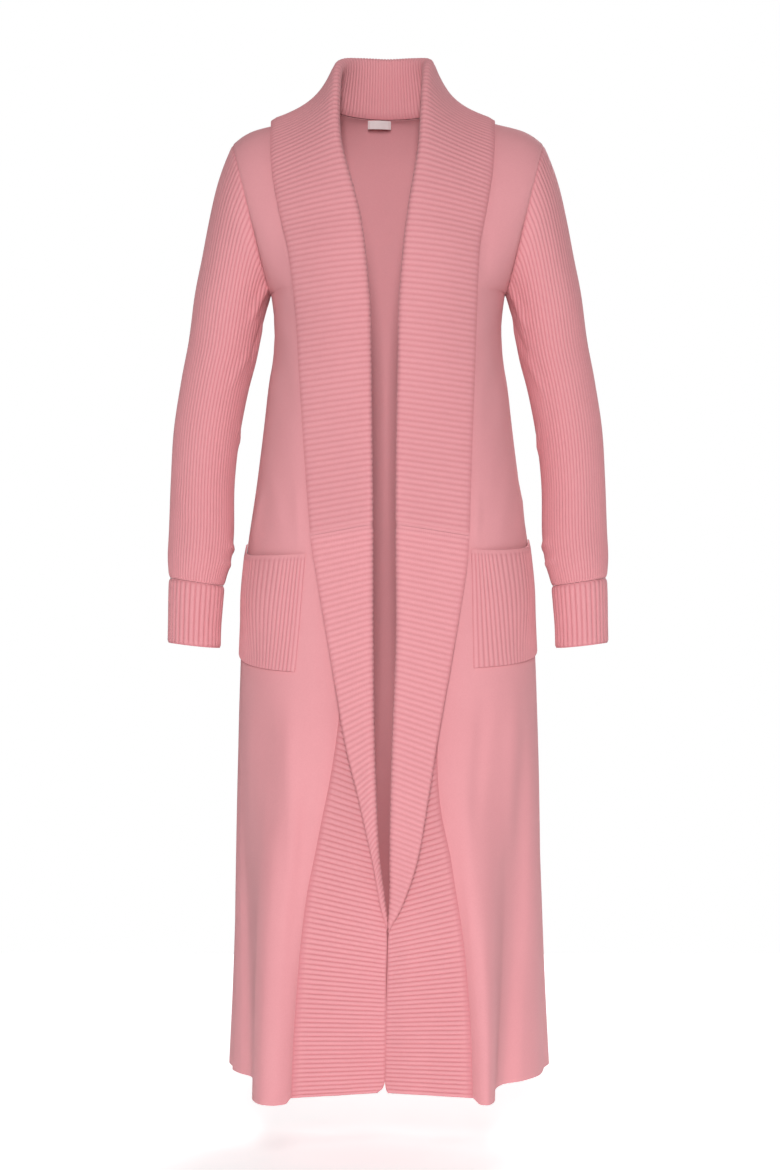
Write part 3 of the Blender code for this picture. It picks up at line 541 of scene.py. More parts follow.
# Back
# The same jersey in one piece, sewn to the fronts at the shoulders and sides and to the collar at the neck.
# It falls smooth from the shoulder blades, draws in a little at the waist and flutes towards the hem.
BACK_CELLS = (150, 180)
UPPER_BACK = ((-238, 99), (-180, 105), (-120, 103), (-60, 88), (-8, 55))  # height, back
NECK_POWER, LEVEL_POWER = 8, 1.5  # how late the rows turn into the neck line, and how they bend
BACK_RUN = 0.27  # metres to one of u by the side seams
BACK_SPAN = (-1 + EDGE_MARGIN, 1 - EDGE_MARGIN)
BACK_FLUTES = (  # turn round the back from the left in degrees, half spread, depth, height where it starts
    (24, 20, 0.022, -0.62),
    (62, 17, 0.030, -0.50),
    (97, 16, 0.022, -0.66),
    (128, 16, 0.030, -0.54),
    (160, 18, 0.020, -0.68),
)
BACK_FOLDS = (  # from (middle, height) to (middle, height), half width, lift
    (-132, -206, -70, -300, 13, 4.7),
    (-138, -250, -92, -372, 11, -3.4),
    (128, -196, 64, -276, 12, 4.3),
    (136, -244, 84, -390, 14, -3.6),
    (-58, -60, -86, -150, 12, 3.2),
    (66, -54, 90, -158, 10, 2.9),
    (-96, -452, -20, -492, 10, 3.4),
    (-84, -486, 8, -514, 9, -2.5),
    (92, -438, 22, -470, 9, 3.1),
    (88, -474, 34, -520, 11, -2.7),
    (-142, -560, -128, -860, 14, 4.3),
    (-30, -620, -38, -900, 15, 3.8),
    (34, -600, 46, -860, 13, -3.6),
    (118, -580, 134, -900, 14, 4.1),
)


def back(v, u):
    """The back: half ovals below the armpits that turn above them into the armholes and the neckline.

    u runs from the left side (-1) to the right side (1). Flutes push the cloth outwards by a bell of
    the turn round the back, more and more towards the hem.
    """
    u, v = np.broadcast_arrays(np.asarray(u, float), np.asarray(v, float))
    up = np.clip(v - 1, 0, 1)
    side = np.where(u < 0, LEFT, RIGHT)
    z = height(v)
    half = girth(z)
    low = np.stack([half[..., 0], 0 * z + SEAM_GAP / 2, z], -1)
    outer = np.where((v <= 1)[..., None], low, armhole(RIGHT, math.pi * (1 + up)))
    middle_z = np.where(v <= 1, z, z - NECK_DROP * up)
    middle_y = np.where(v <= 1, half[..., 1], read(UPPER_BACK, middle_z)[..., 0])
    turn = (1 - np.abs(u)) * math.pi / 2
    x = outer[..., 0] * np.cos(turn)
    neck = np.sqrt(np.clip(1 - (x / NECK_WIDTH) ** 2, 0, 1))
    near_top = up**NECK_POWER
    y = outer[..., 1] + (middle_y - outer[..., 1]) * (np.sin(turn) * (1 - near_top) + neck * near_top)
    level = middle_z + (outer[..., 2] - middle_z) * np.cos(turn) ** LEVEL_POWER
    share = np.clip((x - NECK_WIDTH) / (outer[..., 0] - NECK_WIDTH), 0, 1)
    swell = SHOULDER_ROUND * np.sin(math.pi * share**ROUND_POWER)
    shoulder = NECK_Z + (outer[..., 2] - NECK_Z) * share + swell
    shoulder = shoulder - NECK_DROP * neck - SEAM_GAP * (x < NECK_WIDTH)
    degrees = np.where(u < 0, np.degrees(turn), 180 - np.degrees(turn))
    out = np.stack([side * np.cos(turn), np.sin(turn), 0 * x], -1)
    y = np.maximum(y, SEAM_GAP / 2)
    point = np.stack([side * x, y, level * (1 - near_top) + shoulder * near_top], -1)
    for place, spread, depth, start in BACK_FLUTES:
        near = np.clip(1 - np.abs(degrees - place) / spread, 0, 1)
        fall = np.clip((start - z) / (start - HEM_Z), 0, 1)
        point = point + out * (depth * ease(near) * fall)[..., None]
    return point


def back_cloth(v, u):
    """The back with its folds: moved along its outward direction."""
    plain = back(v, u)
    out = facing(back, v, u, -1, BACK_SPAN)
    return plain + out * folded(plain[..., 0], plain[..., 2], BACK_FOLDS)[..., None]


v, u = lattice((0, PANEL_TOP, BACK_CELLS[0]), (-1, 1, BACK_CELLS[1]))
out = facing(back_cloth, v, u, -1, BACK_SPAN)
sewn = ((1 - np.abs(u)) * BACK_RUN, (2 - v) * TOP_RUN)
made = jersey_wall("back_jersey", back_cloth(v, u), out, sewn, ())
wear(made, "back", jersey)


# Sleeves and cuffs
# Set-in sleeves in fine rib that runs down the arm, seamed into the armholes. They blouse a little over
# the tighter, deeper-ribbed cuffs, which are knitted on with fewer ribs and end in a plain cast-off edge.
SLEEVE_RINGS = (  # middle x, y, z, half width, half depth, tilt in degrees
    ARMHOLE,
    (180, 2, -168, 80.2, 66.5, 67.8),
    (188, 4, -198, 64.3, 62, 57.4),
    (194.8, 6, -232, 53.6, 58, 45.4),
    (201, 8, -266.5, 47, 54, 28.6),
    (207.5, 8, -307.5, 43.4, 51, 18.5),
    (217, 5, -352, 41.6, 48.5, 11),
    (226.5, -1, -411, 40.5, 46.5, 7),
    (230.8, -10, -472, 39, 44.5, 4.5),
    (231.5, -21, -533, 39.6, 43.5, 4.5),
    (233.5, -29, -566, 38.6, 41.5, 6),
    (235.6, -34, -586, 35.4, 37, 8),
    (236.2, -36, -596, 33.6, 34, 8.5),
)
CUFF_RINGS = (
    (236.2, -36.1, -596.4, 33.6, 34, 8.5),
    (237.3, -40, -621, 32.8, 33, 8),
    (238.2, -44, -648, 31.8, 32.2, 7),
    (238.5, -48, -674, 31.6, 32, 6),
)
SLEEVE_RIBS, SLEEVE_RIB, SLEEVE_CUT, SLEEVE_AREA = 62, 0.0008, (0.34, 0.52), 0.14
CUFF_RIBS, CUFF_RIB, CUFF_CUT = 31, 0.0013, (0.205, 0.082)
SLEEVE_WALE, CUFF_WALE, RIB_COURSE, CUFF_COURSE = 0.0023, 0.0033, 0.0016, 0.0017
RIBBING = 0.0022  # the ribbed wall without its ribs
RIB_POWER = 2.4  # how round a rib's back is
START_SHIFT, START_FADE, END_SHIFT, END_FADE = 0.001, 0.004, 0.0006, 0.002  # where ribs fade at both ends
CUFF_EDGE = 0.0018  # the plain cast-off edge
POINTS_TO_A_RIB, TUBE_COARSE = 6, 3  # the inner grid's step round a tube
SLEEVE_CELLS, CUFF_CELLS = 120, 24
SLEEVE_GIRTH = 0.283
SLEEVE_FOLDS = {  # from (girth, height) to (girth, height), half width, lift; girth 0 is the outer side
    LEFT: (
        (128, -214, 104, -282, 8, 3.2),
        (136, -258, 116, -330, 7, -2.2),
        (118, -300, 92, -362, 9, 2.0),
        (150, -226, 172, -300, 9, 3.0),
        (160, -290, 192, -340, 8, -2.2),
        (176, -380, 226, -404, 8, 3.2),
        (170, -404, 232, -428, 7, -2.5),
        (182, -432, 224, -446, 8, 2.8),
        (120, -396, 148, -430, 8, 2.0),
        (24, -470, 60, -520, 10, 1.5),
        (112, -548, 160, -560, 6, 2.5),
        (96, -568, 150, -578, 5, 2.2),
        (196, -552, 246, -564, 6, 2.1),
    ),
    RIGHT: (
        (126, -220, 106, -290, 8, 3.0),
        (138, -264, 112, -322, 8, -2.1),
        (120, -306, 98, -372, 8, 1.9),
        (152, -230, 176, -296, 9, 2.8),
        (158, -284, 188, -346, 8, -2.0),
        (180, -374, 222, -396, 8, 2.9),
        (172, -398, 236, -422, 7, -2.6),
        (186, -428, 230, -444, 8, 2.5),
        (122, -402, 146, -440, 7, 1.9),
        (30, -456, 56, -512, 10, -1.4),
        (108, -546, 156, -556, 6, 2.4),
        (100, -566, 146, -577, 5, 2.4),
        (200, -554, 240, -566, 6, 2.0),
    ),
}


def rib(phase):
    """A rib's profile: 1 on its round back, falling ever faster to 0 in the narrow furrow on each side."""
    return 1 - np.abs(2 * (phase % 1) - 1) ** RIB_POWER


def tube(side, rings, along, turn):
    """A sleeve or a cuff: ovals whose sizes follow smooth curves through the rings."""
    table = np.array(rings, float)
    return ring(side, curve(np.arange(len(table)), table, along), turn)


def ribbed_tube(name, side, rings, cells, ribs, high, folds, plain_end):
    """A sleeve's or a cuff's wall, with ribs along it that fade at plain_end before the last edge."""
    columns = ribs * POINTS_TO_A_RIB
    along, column = lattice((0, len(rings) - 1, cells), (0, columns - 1, columns - 1))
    turn = column * 2 * math.pi / columns

    def surface(a, b):
        """The tube with its folds: moved along its outward direction."""
        plain = tube(side, rings, a, b)
        if not folds:
            return plain
        out = facing(lambda c, d: tube(side, rings, c, d), a, b, side, None)
        lift = folded(b / (2 * math.pi) * SLEEVE_GIRTH, plain[..., 2], folds, SLEEVE_GIRTH)
        return plain + out * lift[..., None]

    points = surface(along, turn)
    out = facing(surface, along, turn, side, None)
    to_start = np.linalg.norm(points - points[:1], axis=-1)
    to_end = np.linalg.norm(points - points[-1:], axis=-1)
    phase = column / POINTS_TO_A_RIB
    fade = ease((to_start + START_SHIFT) / START_FADE) * ease((to_end - plain_end + END_SHIFT) / END_FADE)
    crest = rib(phase) * fade
    sewn = (to_start,) if plain_end else (to_start, to_end)
    outer = points + out * (high * crest + sunk(*sewn))[..., None]
    inner = points - out * pressed(RIBBING if plain_end else JERSEY, *sewn)[..., None]
    # Painted shade in the furrows between the ribs on the outer face; none on the inner face.
    rib_furrow_shade = (1 - crest, 0 * crest[::COARSE, ::TUBE_COARSE])
    return shell(name, outer, inner[::COARSE, ::TUBE_COARSE], rib_furrow_shade, loop=True)


fine_rib = knit_material("fine_rib", SLEEVE_WALE, RIB_COURSE)
cuff_rib = knit_material("cuff_rib", CUFF_WALE, CUFF_COURSE)
for side, word in SIDES:
    made = ribbed_tube(
        f"sleeve_{word}_rib", side, SLEEVE_RINGS, SLEEVE_CELLS, SLEEVE_RIBS, SLEEVE_RIB, SLEEVE_FOLDS[side], 0
    )
    wear(made, f"sleeve_{word}", fine_rib)
    made = ribbed_tube(f"cuff_{word}_rib", side, CUFF_RINGS, CUFF_CELLS, CUFF_RIBS, CUFF_RIB, (), CUFF_EDGE)
    wear(made, f"cuff_{word}", cuff_rib)


# Shawl collar and front bands
# One wide strip of rib, knitted crosswise so that its ribs run from the seam to the free edge. The bands
# go up from the hem to a join at elbow height, and the collar from one join round the back neck to the
# other. From the break upwards the strip is folded over along its roll, and its fall lies on the fronts.
BAND = (  # seam z, roll left x, right x, y, z, edge left x, right x, y, z, gap between layers, fall's swell
    (-1206, -3.8, -4.1, -138, -1207, -3.8, -4.1, -138, -1207, 0, 0),
    (-1192, -3.4, -3.7, -138, -1193, -3.4, -3.7, -138, -1193, 0, 0),
    (-1120, -2.6, -2.7, -139, -1125, -2.6, -2.7, -139, -1125, 0, 0),
    (-1050, -2.1, -0.5, -142, -1062, -2.1, -0.5, -142, -1062, 0, 0),
    (-1000, -1.3, 0.6, -146, -1018, -1.3, 0.6, -146, -1018, 0, 0),
    (-956, -6.3, 4.5, -149, -975, -10, 18, -154, -980, 4, 0),
    (-898, -13.7, 4.9, -150, -916, -19.5, 35.5, -155, -927, 6, 0),
    (-822, -17.3, 6.3, -148, -840, -35, 48, -148, -856, 8, 0),
    (-752, -19.4, 8.6, -143, -768, -52, 59, -141, -785, 9, 0),
    (-652, -20.4, 12.4, -136, -666, -69.5, 77.5, -131, -682, 10, 0),
    (-564, -20.6, 12.2, -130, -570, -86.5, 93.5, -121, -585, 10, 0),
    (-525, -20.6, 11.9, -129, -528, -93, 97.5, -117, -541, 10, 0),
    (-427, -21.7, 12.6, -127, -426, -101, 101, -111, -437, 10, 2),
    (-334, -22.8, 14.4, -127, -331, -107, 104.5, -109, -341, 10, 6),
    (-265, -24.3, 15.7, -127, -259, -111.5, 107, -104.5, -268, 10, 8),
    (-200, -31, 21.6, -123, -188, -120, 110, -103, -197, 11, 7),
    (-160, -37, 26.4, -117, -150, -128, 115.5, -96.5, -163, 12, 4),
    (-125, -46.5, 32.4, -107, -112, -135, 121.5, -88, -130, 12, 3),
    (-85, -58, 39.4, -89, -69, -141, 127, -75, -97, 12, 0),
    (-52, -62.5, 42.3, -66, -31, -144, 130, -57, -66, 12, -4),
    (-22, -63, 44.7, -36, 12, -145, 132, -29, -37, 12, -11),
    (-1, -62, 47.5, -3, 45, -144, 132, 4, -20, 12, -15),
    (0, -55, 49.5, 26, 60, -128, 119, 41, -28, 11, -10),
    (0, -34, 32, 50, 66, -86, 81, 71, -38, 11, -3),
    (0, 0, 0, 61, 67, 0, 0, 87, -39, 11, 0),
    (0, 32, -34, 50, 66, 81, -86, 71, -38, 11, -3),
)
OPEN_ROW, JOIN_ROW, SHOULDER_ROW, BACK_ROW = 4, 11, 21, 24
NOTCH = {LEFT: -0.0085, RIGHT: 0.0035}  # how far each band's corner stands off the middle at the hem
JOIN_GAP, JOIN_STRIP = 0.0022, 0.0026  # between the pieces, in rows, and the plain strip's half width
NECK_TURNS = (0, 34, 61, 90)
RIB_PITCH_HEM, RIB_PITCH, RIB_PITCH_REACH = 0.0050, 0.0069, 0.45
MID_FALL, NOSE = 0.7, 0.006  # where the ribs' distance is measured, and the roll's half width
BEFORE_NOSE, AFTER_NOSE = 0.7, 0.8  # most shares of the width there
ROLL_STEP, FIRST_ROW = 0.2, 0.001  # rows that directions are taken over and from
MOST_GAP, LEAST_GAP = 0.5, 0.0001  # of the layers: a share of the fall's width, and metres
RIB_SAMPLES = 2500
BAND_WALE = 0.0017
BAND_RIB, BAND_EDGE = 0.0012, 0.0028  # a rib's height, and how far the free edge is rounded
EDGE_THIN = 0.45  # what the rounding takes off the wall
SEAM_FADE, EDGE_FADE, EDGE_SHARE = 0.004, 0.003, 0.35  # where ribs fade, and what is left at the free edge
JOIN_FADE, JOIN_SHARE = 0.002, 0.12  # the same at the join
SEAM_LAP = 0.0004  # how far the band reaches over its seam
POINTS_TO_A_BAND_RIB = 5
STAND_CELLS, NOSE_CELLS, FALL_CELLS = 9, 6, 15
BAND_CUT, BAND_AREA = (0.13, 0.70), 0.079
BAND_FOLDS = {  # from (across from the seam, height) to (across, height), half width, lift
    LEFT: (
        (20, -1262, 16, -1048, 6, -1.7),
        (62, -1250, 88, -1084, 14, 1.3),
        (38, -1110, 70, -960, 12, 0.9),
    ),
    RIGHT: (
        (17, -1258, 13, -1056, 6, -1.5),
        (74, -1246, 52, -1092, 13, -1.2),
        (30, -1100, 54, -950, 12, 1.0),
    ),
}


def neck_seam(side, turn):
    """The line where the back meets the collar: half an oval that drops towards the middle of the back."""
    x, y = NECK_WIDTH * np.cos(turn), NECK_DEPTH * np.sin(turn)
    return np.stack([side * x, y, NECK_Z - NECK_DROP * y / NECK_DEPTH], -1)


def band_guides(side, s):
    """The band's seam, roll and edge at s, in rows of BAND, with its layers' gap and its swell."""
    table = mm(BAND)
    rows = np.arange(len(table), dtype=float)
    at = curve(rows, table, np.clip(s, 0, BACK_ROW))
    sewn = slice(SHOULDER_ROW + 1)
    low = front_seam(side, curve(rows[sewn], table[sewn, 0], np.clip(s, 0, SHOULDER_ROW)))
    turn = np.radians(np.interp(s, range(SHOULDER_ROW, BACK_ROW + 1), NECK_TURNS))
    seam = np.where((s > SHOULDER_ROW)[..., None], neck_seam(side, turn), low)
    shift = 1 if side == LEFT else 2
    notch = NOTCH[side] * np.clip(1 - s, 0, 1)
    roll = np.stack([at[..., shift] + notch, at[..., 3], at[..., 4]], -1)
    edge = np.stack([at[..., shift + 4], at[..., 7], at[..., 8]], -1)
    edge = np.where((s < OPEN_ROW)[..., None], roll, edge)
    return seam, roll, edge, at[..., 9], at[..., 10]


def roll_line(side, s):
    """The roll, which goes on past the middle of the back neck as the other side's."""
    past = (s > BACK_ROW)[..., None]
    return np.where(past, band_guides(-side, 2 * BACK_ROW - s)[1], band_guides(side, s)[1])


def band(side, s, w):
    """The band's outer face: across it w runs from the seam (0) over the roll to the free edge (1).

    Its section is a hairpin: the distance from the roll grows as a rounded V, and the depth steps
    across the roll by the gap between the two layers. Swell bows the part that is turned over.
    """
    s, w = np.broadcast_arrays(np.asarray(s, float), np.asarray(w, float))
    seam, roll, edge, gap, swell = band_guides(side, s)
    run = roll_line(side, s + ROLL_STEP) - roll_line(side, np.maximum(s - ROLL_STEP, 0))
    inner, outer = (np.linalg.norm(p - roll, axis=-1) for p in (seam, edge))
    outward = unit(side * np.cross((seam + edge) / 2 - roll, run))
    gap = np.maximum(np.minimum(gap, outer * MOST_GAP), LEAST_GAP) / 2
    q = w * (inner + outer) - inner
    goal = np.where((q < 0)[..., None], seam, edge)
    length = np.maximum(np.where(q < 0, inner, outer), 1e-6)
    end = np.sqrt(length**2 + gap**2)
    reach = goal - roll - outward * (gap * np.sign(q) * length / end)[..., None]
    share = (np.sqrt(q * q + gap * gap) - gap) / (end - gap)
    lift = gap * q / np.sqrt(q * q + gap * gap) + swell * np.sin(math.pi * np.clip(q / length, 0, 1))
    return roll + reach * share[..., None] + outward * lift[..., None]


def band_columns(side, s):
    """Places across the band for each row: even steps on the stand and the fall, close ones between."""
    seam, roll, edge = band_guides(side, s)[:3]
    inner, outer = (np.linalg.norm(p - roll, axis=-1) for p in (seam, edge))
    total = inner + outer
    before = np.minimum((inner - NOSE) / total, BEFORE_NOSE)
    after = np.minimum((inner + NOSE) / total, AFTER_NOSE)
    knots = np.stack([-SEAM_LAP / total, before, after, 1 + 0 * s], -1)
    cells = np.cumsum((0, STAND_CELLS, NOSE_CELLS, FALL_CELLS))
    step = np.arange(cells[-1] + 1)
    piece = np.clip(np.searchsorted(cells, step, side="right") - 1, 0, 2)
    share = (step - cells[piece]) / (cells[piece + 1] - cells[piece])
    return knots[:, piece] * (1 - share) + knots[:, piece + 1] * share, total


def rib_rows(side, low, high):
    """Rows of BAND with ribs evenly spaced along the fall, each row's phase in its rib, and its run."""
    s = np.linspace(low, high, RIB_SAMPLES)
    line = band(side, s, np.full_like(s, MID_FALL))
    run = np.append(0, np.cumsum(np.linalg.norm(np.diff(line, axis=0), axis=1)))
    pitch = RIB_PITCH_HEM + (RIB_PITCH - RIB_PITCH_HEM) * ease((line[:, 2] - HEM_Z) / RIB_PITCH_REACH)
    count = np.append(0, np.cumsum(np.diff(run) / pitch[1:]))
    ribs = round(count[-1])
    phase = np.arange(POINTS_TO_A_BAND_RIB * ribs + 1) / POINTS_TO_A_BAND_RIB
    rows = np.interp(phase / ribs, count / count[-1], s)
    return rows, phase, np.interp(rows, s, run)


def beside_join(distance):
    """The ribs' share of their height, which falls to almost nothing in a narrow strip at the join."""
    return JOIN_SHARE + (1 - JOIN_SHARE) * ease((distance - JOIN_STRIP) / JOIN_FADE)


def ribbed_band(name, surface, along, phase, full, across, wide, hand):
    """The band's wall, ribbed on both faces. A crest on one face is a furrow on the other.

    Full is each row's share of the ribs' height, and wide the band's whole width there.
    """
    a = np.broadcast_to(along[:, None], across.shape)
    points = surface(a, across)
    out = facing(surface, a, across, hand)
    from_edge = (1 - across) * wide[:, None]
    from_seam = across * wide[:, None]
    at_edge = EDGE_SHARE + (1 - EDGE_SHARE) * ease(from_edge / EDGE_FADE)
    fade = full[:, None] * ease(from_seam / SEAM_FADE) * at_edge
    crest = rib(phase)[:, None] * fade
    furrow = rib(phase + 0.5)[:, None] * fade
    round_off = 1 - EDGE_THIN * (1 - ease(from_edge / BAND_EDGE)) ** 2
    thick = pressed(RIBBING, from_seam + BAND_SEAM) * round_off
    sink = sunk(from_seam + BAND_SEAM) - RIBBING / 2 * (1 - round_off)
    outer = points + out * (BAND_RIB * crest + sink)[..., None]
    inner = points - out * (thick + BAND_RIB * furrow)[..., None]
    # Painted shade in the furrows on both faces, scaled by each row's share of the ribs, so it fades out at
    # the join.
    return shell(name, outer, inner, (full[:, None] * (1 - crest), full[:, None] * (1 - furrow)))


band_rib = knit_material("band_rib", BAND_WALE, RIB_COURSE)
for side, word in SIDES:
    rows, phase, run = rib_rows(side, 0, JOIN_ROW - JOIN_GAP)
    across, wide = band_columns(side, rows)
    full = beside_join(run[-1] - run)

    def band_cloth(s, w, side=side):
        """The band, moved outwards by its soft folds below the break."""
        flat = band(side, s, w)
        out = facing(lambda a, b: band(side, a, b), np.maximum(s, FIRST_ROW), w, -side)
        return flat + out * folded(w * BAND_CUT[0], flat[..., 2], BAND_FOLDS[side])[..., None]

    made = ribbed_band(f"front_band_{word}_rib", band_cloth, rows, phase, full, across, wide, -side)
    wear(made, f"front_band_{word}", band_rib)

halves = {side: rib_rows(side, JOIN_ROW + JOIN_GAP, BACK_ROW) for side in (LEFT, RIGHT)}
rows = np.concatenate([halves[LEFT][0] - BACK_ROW, BACK_ROW - halves[RIGHT][0][::-1][1:]])
phases = [halves[side][1] - halves[side][1][-1] for side in (LEFT, RIGHT)]
phase = np.concatenate([phases[0], -phases[1][::-1][1:]])
run = np.concatenate([halves[LEFT][2], halves[RIGHT][2][::-1][1:]])
columns = {side: band_columns(side, BACK_ROW - np.abs(rows)) for side in (LEFT, RIGHT)}
across = np.where((rows < 0)[:, None], columns[LEFT][0], columns[RIGHT][0])
wide = np.where(rows < 0, columns[LEFT][1], columns[RIGHT][1])


def collar_cloth(along, w):
    """The collar: the band of one side up to the middle of the back neck, and of the other side after it."""
    s = BACK_ROW - np.abs(along)
    return np.where((along < 0)[..., None], band(LEFT, s, w), band(RIGHT, s, w))


made = ribbed_band("shawl_collar_rib", collar_cloth, rows, phase, beside_join(run), across, wide, 1)
wear(made, "shawl_collar", band_rib)


# Pockets
# Rib patches sewn onto the fronts below the join, out to the side seams. Their ribs run up and down and
# lean with the inner edge, and a smooth hem finishes the top, which sags a little between its corners.
POCKET_TOP = {  # place across the panel in thousandths, height
    LEFT: ((30, -549), (140, -559), (300, -564), (600, -564), (785, -562)),
    RIGHT: ((30, -543), (160, -549), (300, -555), (600, -558), (780, -557)),
}
POCKET_BOTTOM = {
    LEFT: ((30, -684), (200, -694), (450, -701), (712, -705)),
    RIGHT: ((30, -681), (200, -689), (450, -695.5), (775, -700)),
}
POCKET_RIBS, POCKET_RIB, POCKET_HEM, POCKET_WALE = 28, 0.0009, 0.005, 0.0024
POCKET_BULGE, BULGE_UP, MOUTH_LESS = 0.006, 0.6, 0.4  # the bulge, its height, and its loss at the mouth
HEM_ROLL, HEM_REACH, POCKET_HEM_SHADE = 0.0006, 0.002, 0.1  # the rolled top's height and half width, and the painted shade on it
POCKET_CUT, POCKET_CELLS, POCKET_CLEAR, POCKET_THICK = (0.143, 0.152), 48, 0.0002, 0.0018


def pocket_wall(across):
    """The pocket's thickness, which thins towards its sewn sides."""
    return pressed(POCKET_THICK, np.minimum(across, 1 - across) * POCKET_CUT[0])


def pocket(side, up, across):
    """A pocket: the front panel's own points, moved outwards by the wall and by a bulge for a hand."""
    top, bottom = mm(POCKET_TOP[side]), mm(POCKET_BOTTOM[side])
    high, low = (curve(np.linspace(0, 1, len(t)), t, across) for t in (top, bottom))
    u, z = (low[..., k] + (high[..., k] - low[..., k]) * up for k in (0, 1))
    v = (z - HEM_Z) / (ARMPIT_Z - HEM_Z)
    bulge = POCKET_BULGE * np.sin(math.pi * np.clip(across, 0, 1)) ** 2
    bulge = bulge * ease(up / BULGE_UP) * (1 - MOUTH_LESS * ease((up - BULGE_UP) / (1 - BULGE_UP)))
    out = facing(lambda a, b: front(side, a, b), v, u, -side)
    return front_cloth(side, v, u) + out * (POCKET_CLEAR + pocket_wall(across) + bulge)[..., None]


pocket_rib = knit_material("pocket_rib", POCKET_WALE, RIB_COURSE)
for side, word in SIDES:
    columns = POCKET_RIBS * POINTS_TO_A_RIB
    up, column = lattice((0, 1, POCKET_CELLS), (0, columns, columns))
    across = column / columns
    points = pocket(side, up, across)
    out = facing(lambda a, b, side=side: pocket(side, a, b), up, across, -side)
    from_top = (1 - up) * POCKET_CUT[1]
    crest = rib(column / POINTS_TO_A_RIB) * ease((from_top - POCKET_HEM) / HEM_REACH)
    rolled = HEM_ROLL * np.exp(-(((from_top - HEM_REACH) / HEM_REACH) ** 2))
    outer = points + out * (POCKET_RIB * crest + rolled)[..., None]
    inner = points - out * pocket_wall(across)[..., None]
    # Painted shade in the furrows, and a little on the hem; none on the inner face.
    furrow_shade = (np.where(from_top < POCKET_HEM, POCKET_HEM_SHADE, 1 - crest), 0 * crest[::COARSE, ::COARSE])
    made = shell(f"pocket_{word}_rib", outer, inner[::COARSE, ::COARSE], furrow_shade)
    wear(made, f"pocket_{word}", pocket_rib)


# Neck label
# A small smooth woven strip without any text, folded under and stitched at its two ends to the inside of
# the back, just below the neck seam, so that its middle bows off the cloth.
LABEL_MIDDLE, LABEL_WIDTH, LABEL_HEIGHT, LABEL_THICK = -0.011, 0.029, 0.0095, 0.0007
LABEL_BOW, LABEL_TOP_Z, LABEL_CELLS = 0.004, -0.0105, (12, 36)  # down it and across
LABEL_SINK, LABEL_OVAL = 0.0029, 0.08  # the back's inner face there
LABEL_CURL, CURL_SPEED = 0.0004, 9  # the lower edge waves a little
STITCH_IN, STITCH_HALF, STITCH_LONG, STITCH_GAP = 0.0016, 0.0004, 0.0015, 0.4
THREAD, SATIN_BUMP, SATIN_HEIGHT, STITCH_HEIGHT = 0.0004, 0.4, 0.0002, 2.0
SATIN_ROUGHNESS, THREAD_ROUGHNESS, SATIN_SPECULAR = 0.45, 0.06, 0.35
LABEL_WHITE, LABEL_THREAD = (0.93, 0.80, 0.80, 1), (0.80, 0.50, 0.52, 1)


def label(down, across):
    """The label: the back's inner face, bowed forward between the two sewn ends by half a sine wave."""
    x = LABEL_MIDDLE + LABEL_WIDTH * (across - 0.5)
    z = LABEL_TOP_Z - LABEL_HEIGHT * down
    behind = (read(UPPER_BACK, z)[..., 0] - LABEL_SINK) * np.sqrt(1 - (x / LABEL_OVAL) ** 2)
    bow = LABEL_BOW * np.sin(math.pi * np.clip(across, 0, 1))
    bow = bow + LABEL_CURL * np.sin(CURL_SPEED * across) * down
    return np.stack([x, behind - SEAM_GAP - bow, z], -1)


def label_material():
    """Satin weave: fine threads across the strip as bump, and small stitches at both ends."""
    made, tree, shader, place = new_material("label_satin")
    apart = tree.nodes.new("ShaderNodeSeparateXYZ")
    tree.links.new(place, apart.inputs[0])
    to_end = calc(tree, "PINGPONG", apart.outputs["X"], LABEL_WIDTH / 2)
    at_end = calc(tree, "COMPARE", to_end, STITCH_IN, STITCH_HALF)
    stitch = calc(tree, "FRACT", calc(tree, "DIVIDE", apart.outputs["Y"], STITCH_LONG))
    sewn = calc(tree, "MULTIPLY", at_end, calc(tree, "GREATER_THAN", stitch, STITCH_GAP))
    tree.links.new(blend_colour(tree, sewn, LABEL_WHITE, LABEL_THREAD), shader.inputs["Base Color"])
    threads = calc(tree, "SINE", calc(tree, "MULTIPLY", apart.outputs["Y"], 2 * math.pi / THREAD))
    bump = tree.nodes.new("ShaderNodeBump")
    settle(bump, {"Strength": SATIN_BUMP, "Distance": SATIN_HEIGHT})
    tree.links.new(calc(tree, "MULTIPLY_ADD", sewn, STITCH_HEIGHT, threads), bump.inputs["Height"])
    tree.links.new(bump.outputs["Normal"], shader.inputs["Normal"])
    roughness = calc(tree, "MULTIPLY_ADD", threads, THREAD_ROUGHNESS, SATIN_ROUGHNESS)
    tree.links.new(roughness, shader.inputs["Roughness"])
    settle(shader, {"Specular IOR Level": SATIN_SPECULAR})
    return made


down, across = lattice((0, 1, LABEL_CELLS[0]), (0, 1, LABEL_CELLS[1]))
outer = label(down, across)
inner = outer + facing(label, down, across, 1) * LABEL_THICK
made = shell("neck_label_satin", outer, inner)
wear(made, "neck_label", label_material())


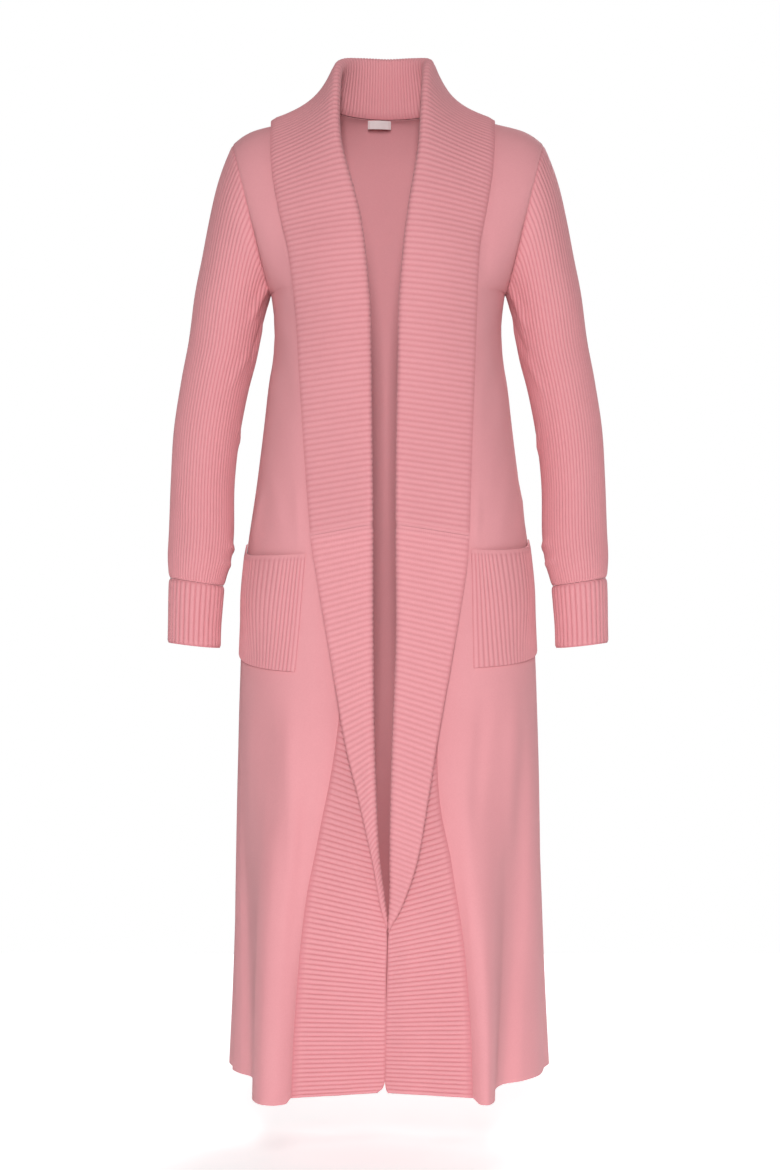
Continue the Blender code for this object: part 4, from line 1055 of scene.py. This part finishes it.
# The set
# A plain pale floor below the hem, soft studio light from the front and above, and the camera at the
# photograph's viewing angle: level with the middle of the garment, straight in front of it.
WHITE = (1, 1, 1, 1)
FLOOR_Z, FLOOR_HALF = -1.3, 1.6
FLOOR_PAINT, FLOOR_ROUGHNESS, FLOOR_GLOW = (0.93, 0.93, 0.93, 1), 0.9, 0.48
CAMERA_PLACE, CAMERA_LENS, CAMERA_SENSOR = (0.0025, -3.1, -0.600), 76.3, 36
SKY_LIGHT = 0.08  # as light; the camera sees it at 1
LAMP_AIM = (0, 0, -0.55)
LAMPS = (  # name, place, width, height, power in watts
    ("key", (-0.04, -5.0, 0.7), 0.7, 1.8, 218),
    ("fill_left", (-2.5, -2.2, 0.9), 1.8, 2.2, 6),
    ("fill_right", (2.5, -2.2, 0.7), 1.8, 2.2, 5),
    ("top", (0.0, 0.2, 2.4), 2.0, 1.6, 5),
    ("behind", (1.3, 3.2, 0.9), 2.0, 2.2, 105),
)

floor_mesh = bpy.data.meshes.new("floor")
floor_corners = [(x * FLOOR_HALF, y * FLOOR_HALF, FLOOR_Z) for x, y in ((-1, -1), (1, -1), (1, 1), (-1, 1))]
floor_mesh.from_pydata(floor_corners, [], [(0, 1, 2, 3)])
floor = in_scene("floor", floor_mesh)
floor_paint = bpy.data.materials.new("pale_floor")
floor_paint.use_nodes = True
floor_shader = floor_paint.node_tree.nodes["Principled BSDF"]
settle(floor_shader, {"Base Color": FLOOR_PAINT, "Roughness": FLOOR_ROUGHNESS, "Specular IOR Level": 0})
settle(floor_shader, {"Emission Color": WHITE, "Emission Strength": FLOOR_GLOW})
floor_mesh.materials.append(floor_paint)

for name, place, wide, high, power in LAMPS:
    lamp = bpy.data.lights.new(name, "AREA")
    lamp.shape = "RECTANGLE"
    lamp.size = wide
    lamp.size_y = high
    lamp.energy = power
    holder = in_scene(name, lamp)
    holder.location = place
    aim = np.array(LAMP_AIM) - np.array(place)
    across_aim = math.hypot(aim[0], aim[1])
    holder.rotation_euler = (math.atan2(across_aim, -aim[2]), 0, math.atan2(-aim[0], aim[1]))

sky = bpy.data.worlds.new("studio")
bpy.context.scene.world = sky
sky.use_nodes = True
background = sky.node_tree.nodes["Background"]
seen = sky.node_tree.nodes.new("ShaderNodeLightPath")
settle(background, {"Color": WHITE})
strength = calc(sky.node_tree, "MULTIPLY_ADD", seen.outputs["Is Camera Ray"], 1 - SKY_LIGHT, SKY_LIGHT)
sky.node_tree.links.new(strength, background.inputs["Strength"])

camera_data = bpy.data.cameras.new("camera")
camera_data.lens = CAMERA_LENS
camera_data.sensor_width = CAMERA_SENSOR
camera = in_scene("camera", camera_data)
camera.location = CAMERA_PLACE
camera.rotation_euler = (math.pi / 2, 0, 0)
bpy.context.scene.camera = camera
bpy.context.scene.view_settings.view_transform = "Standard"
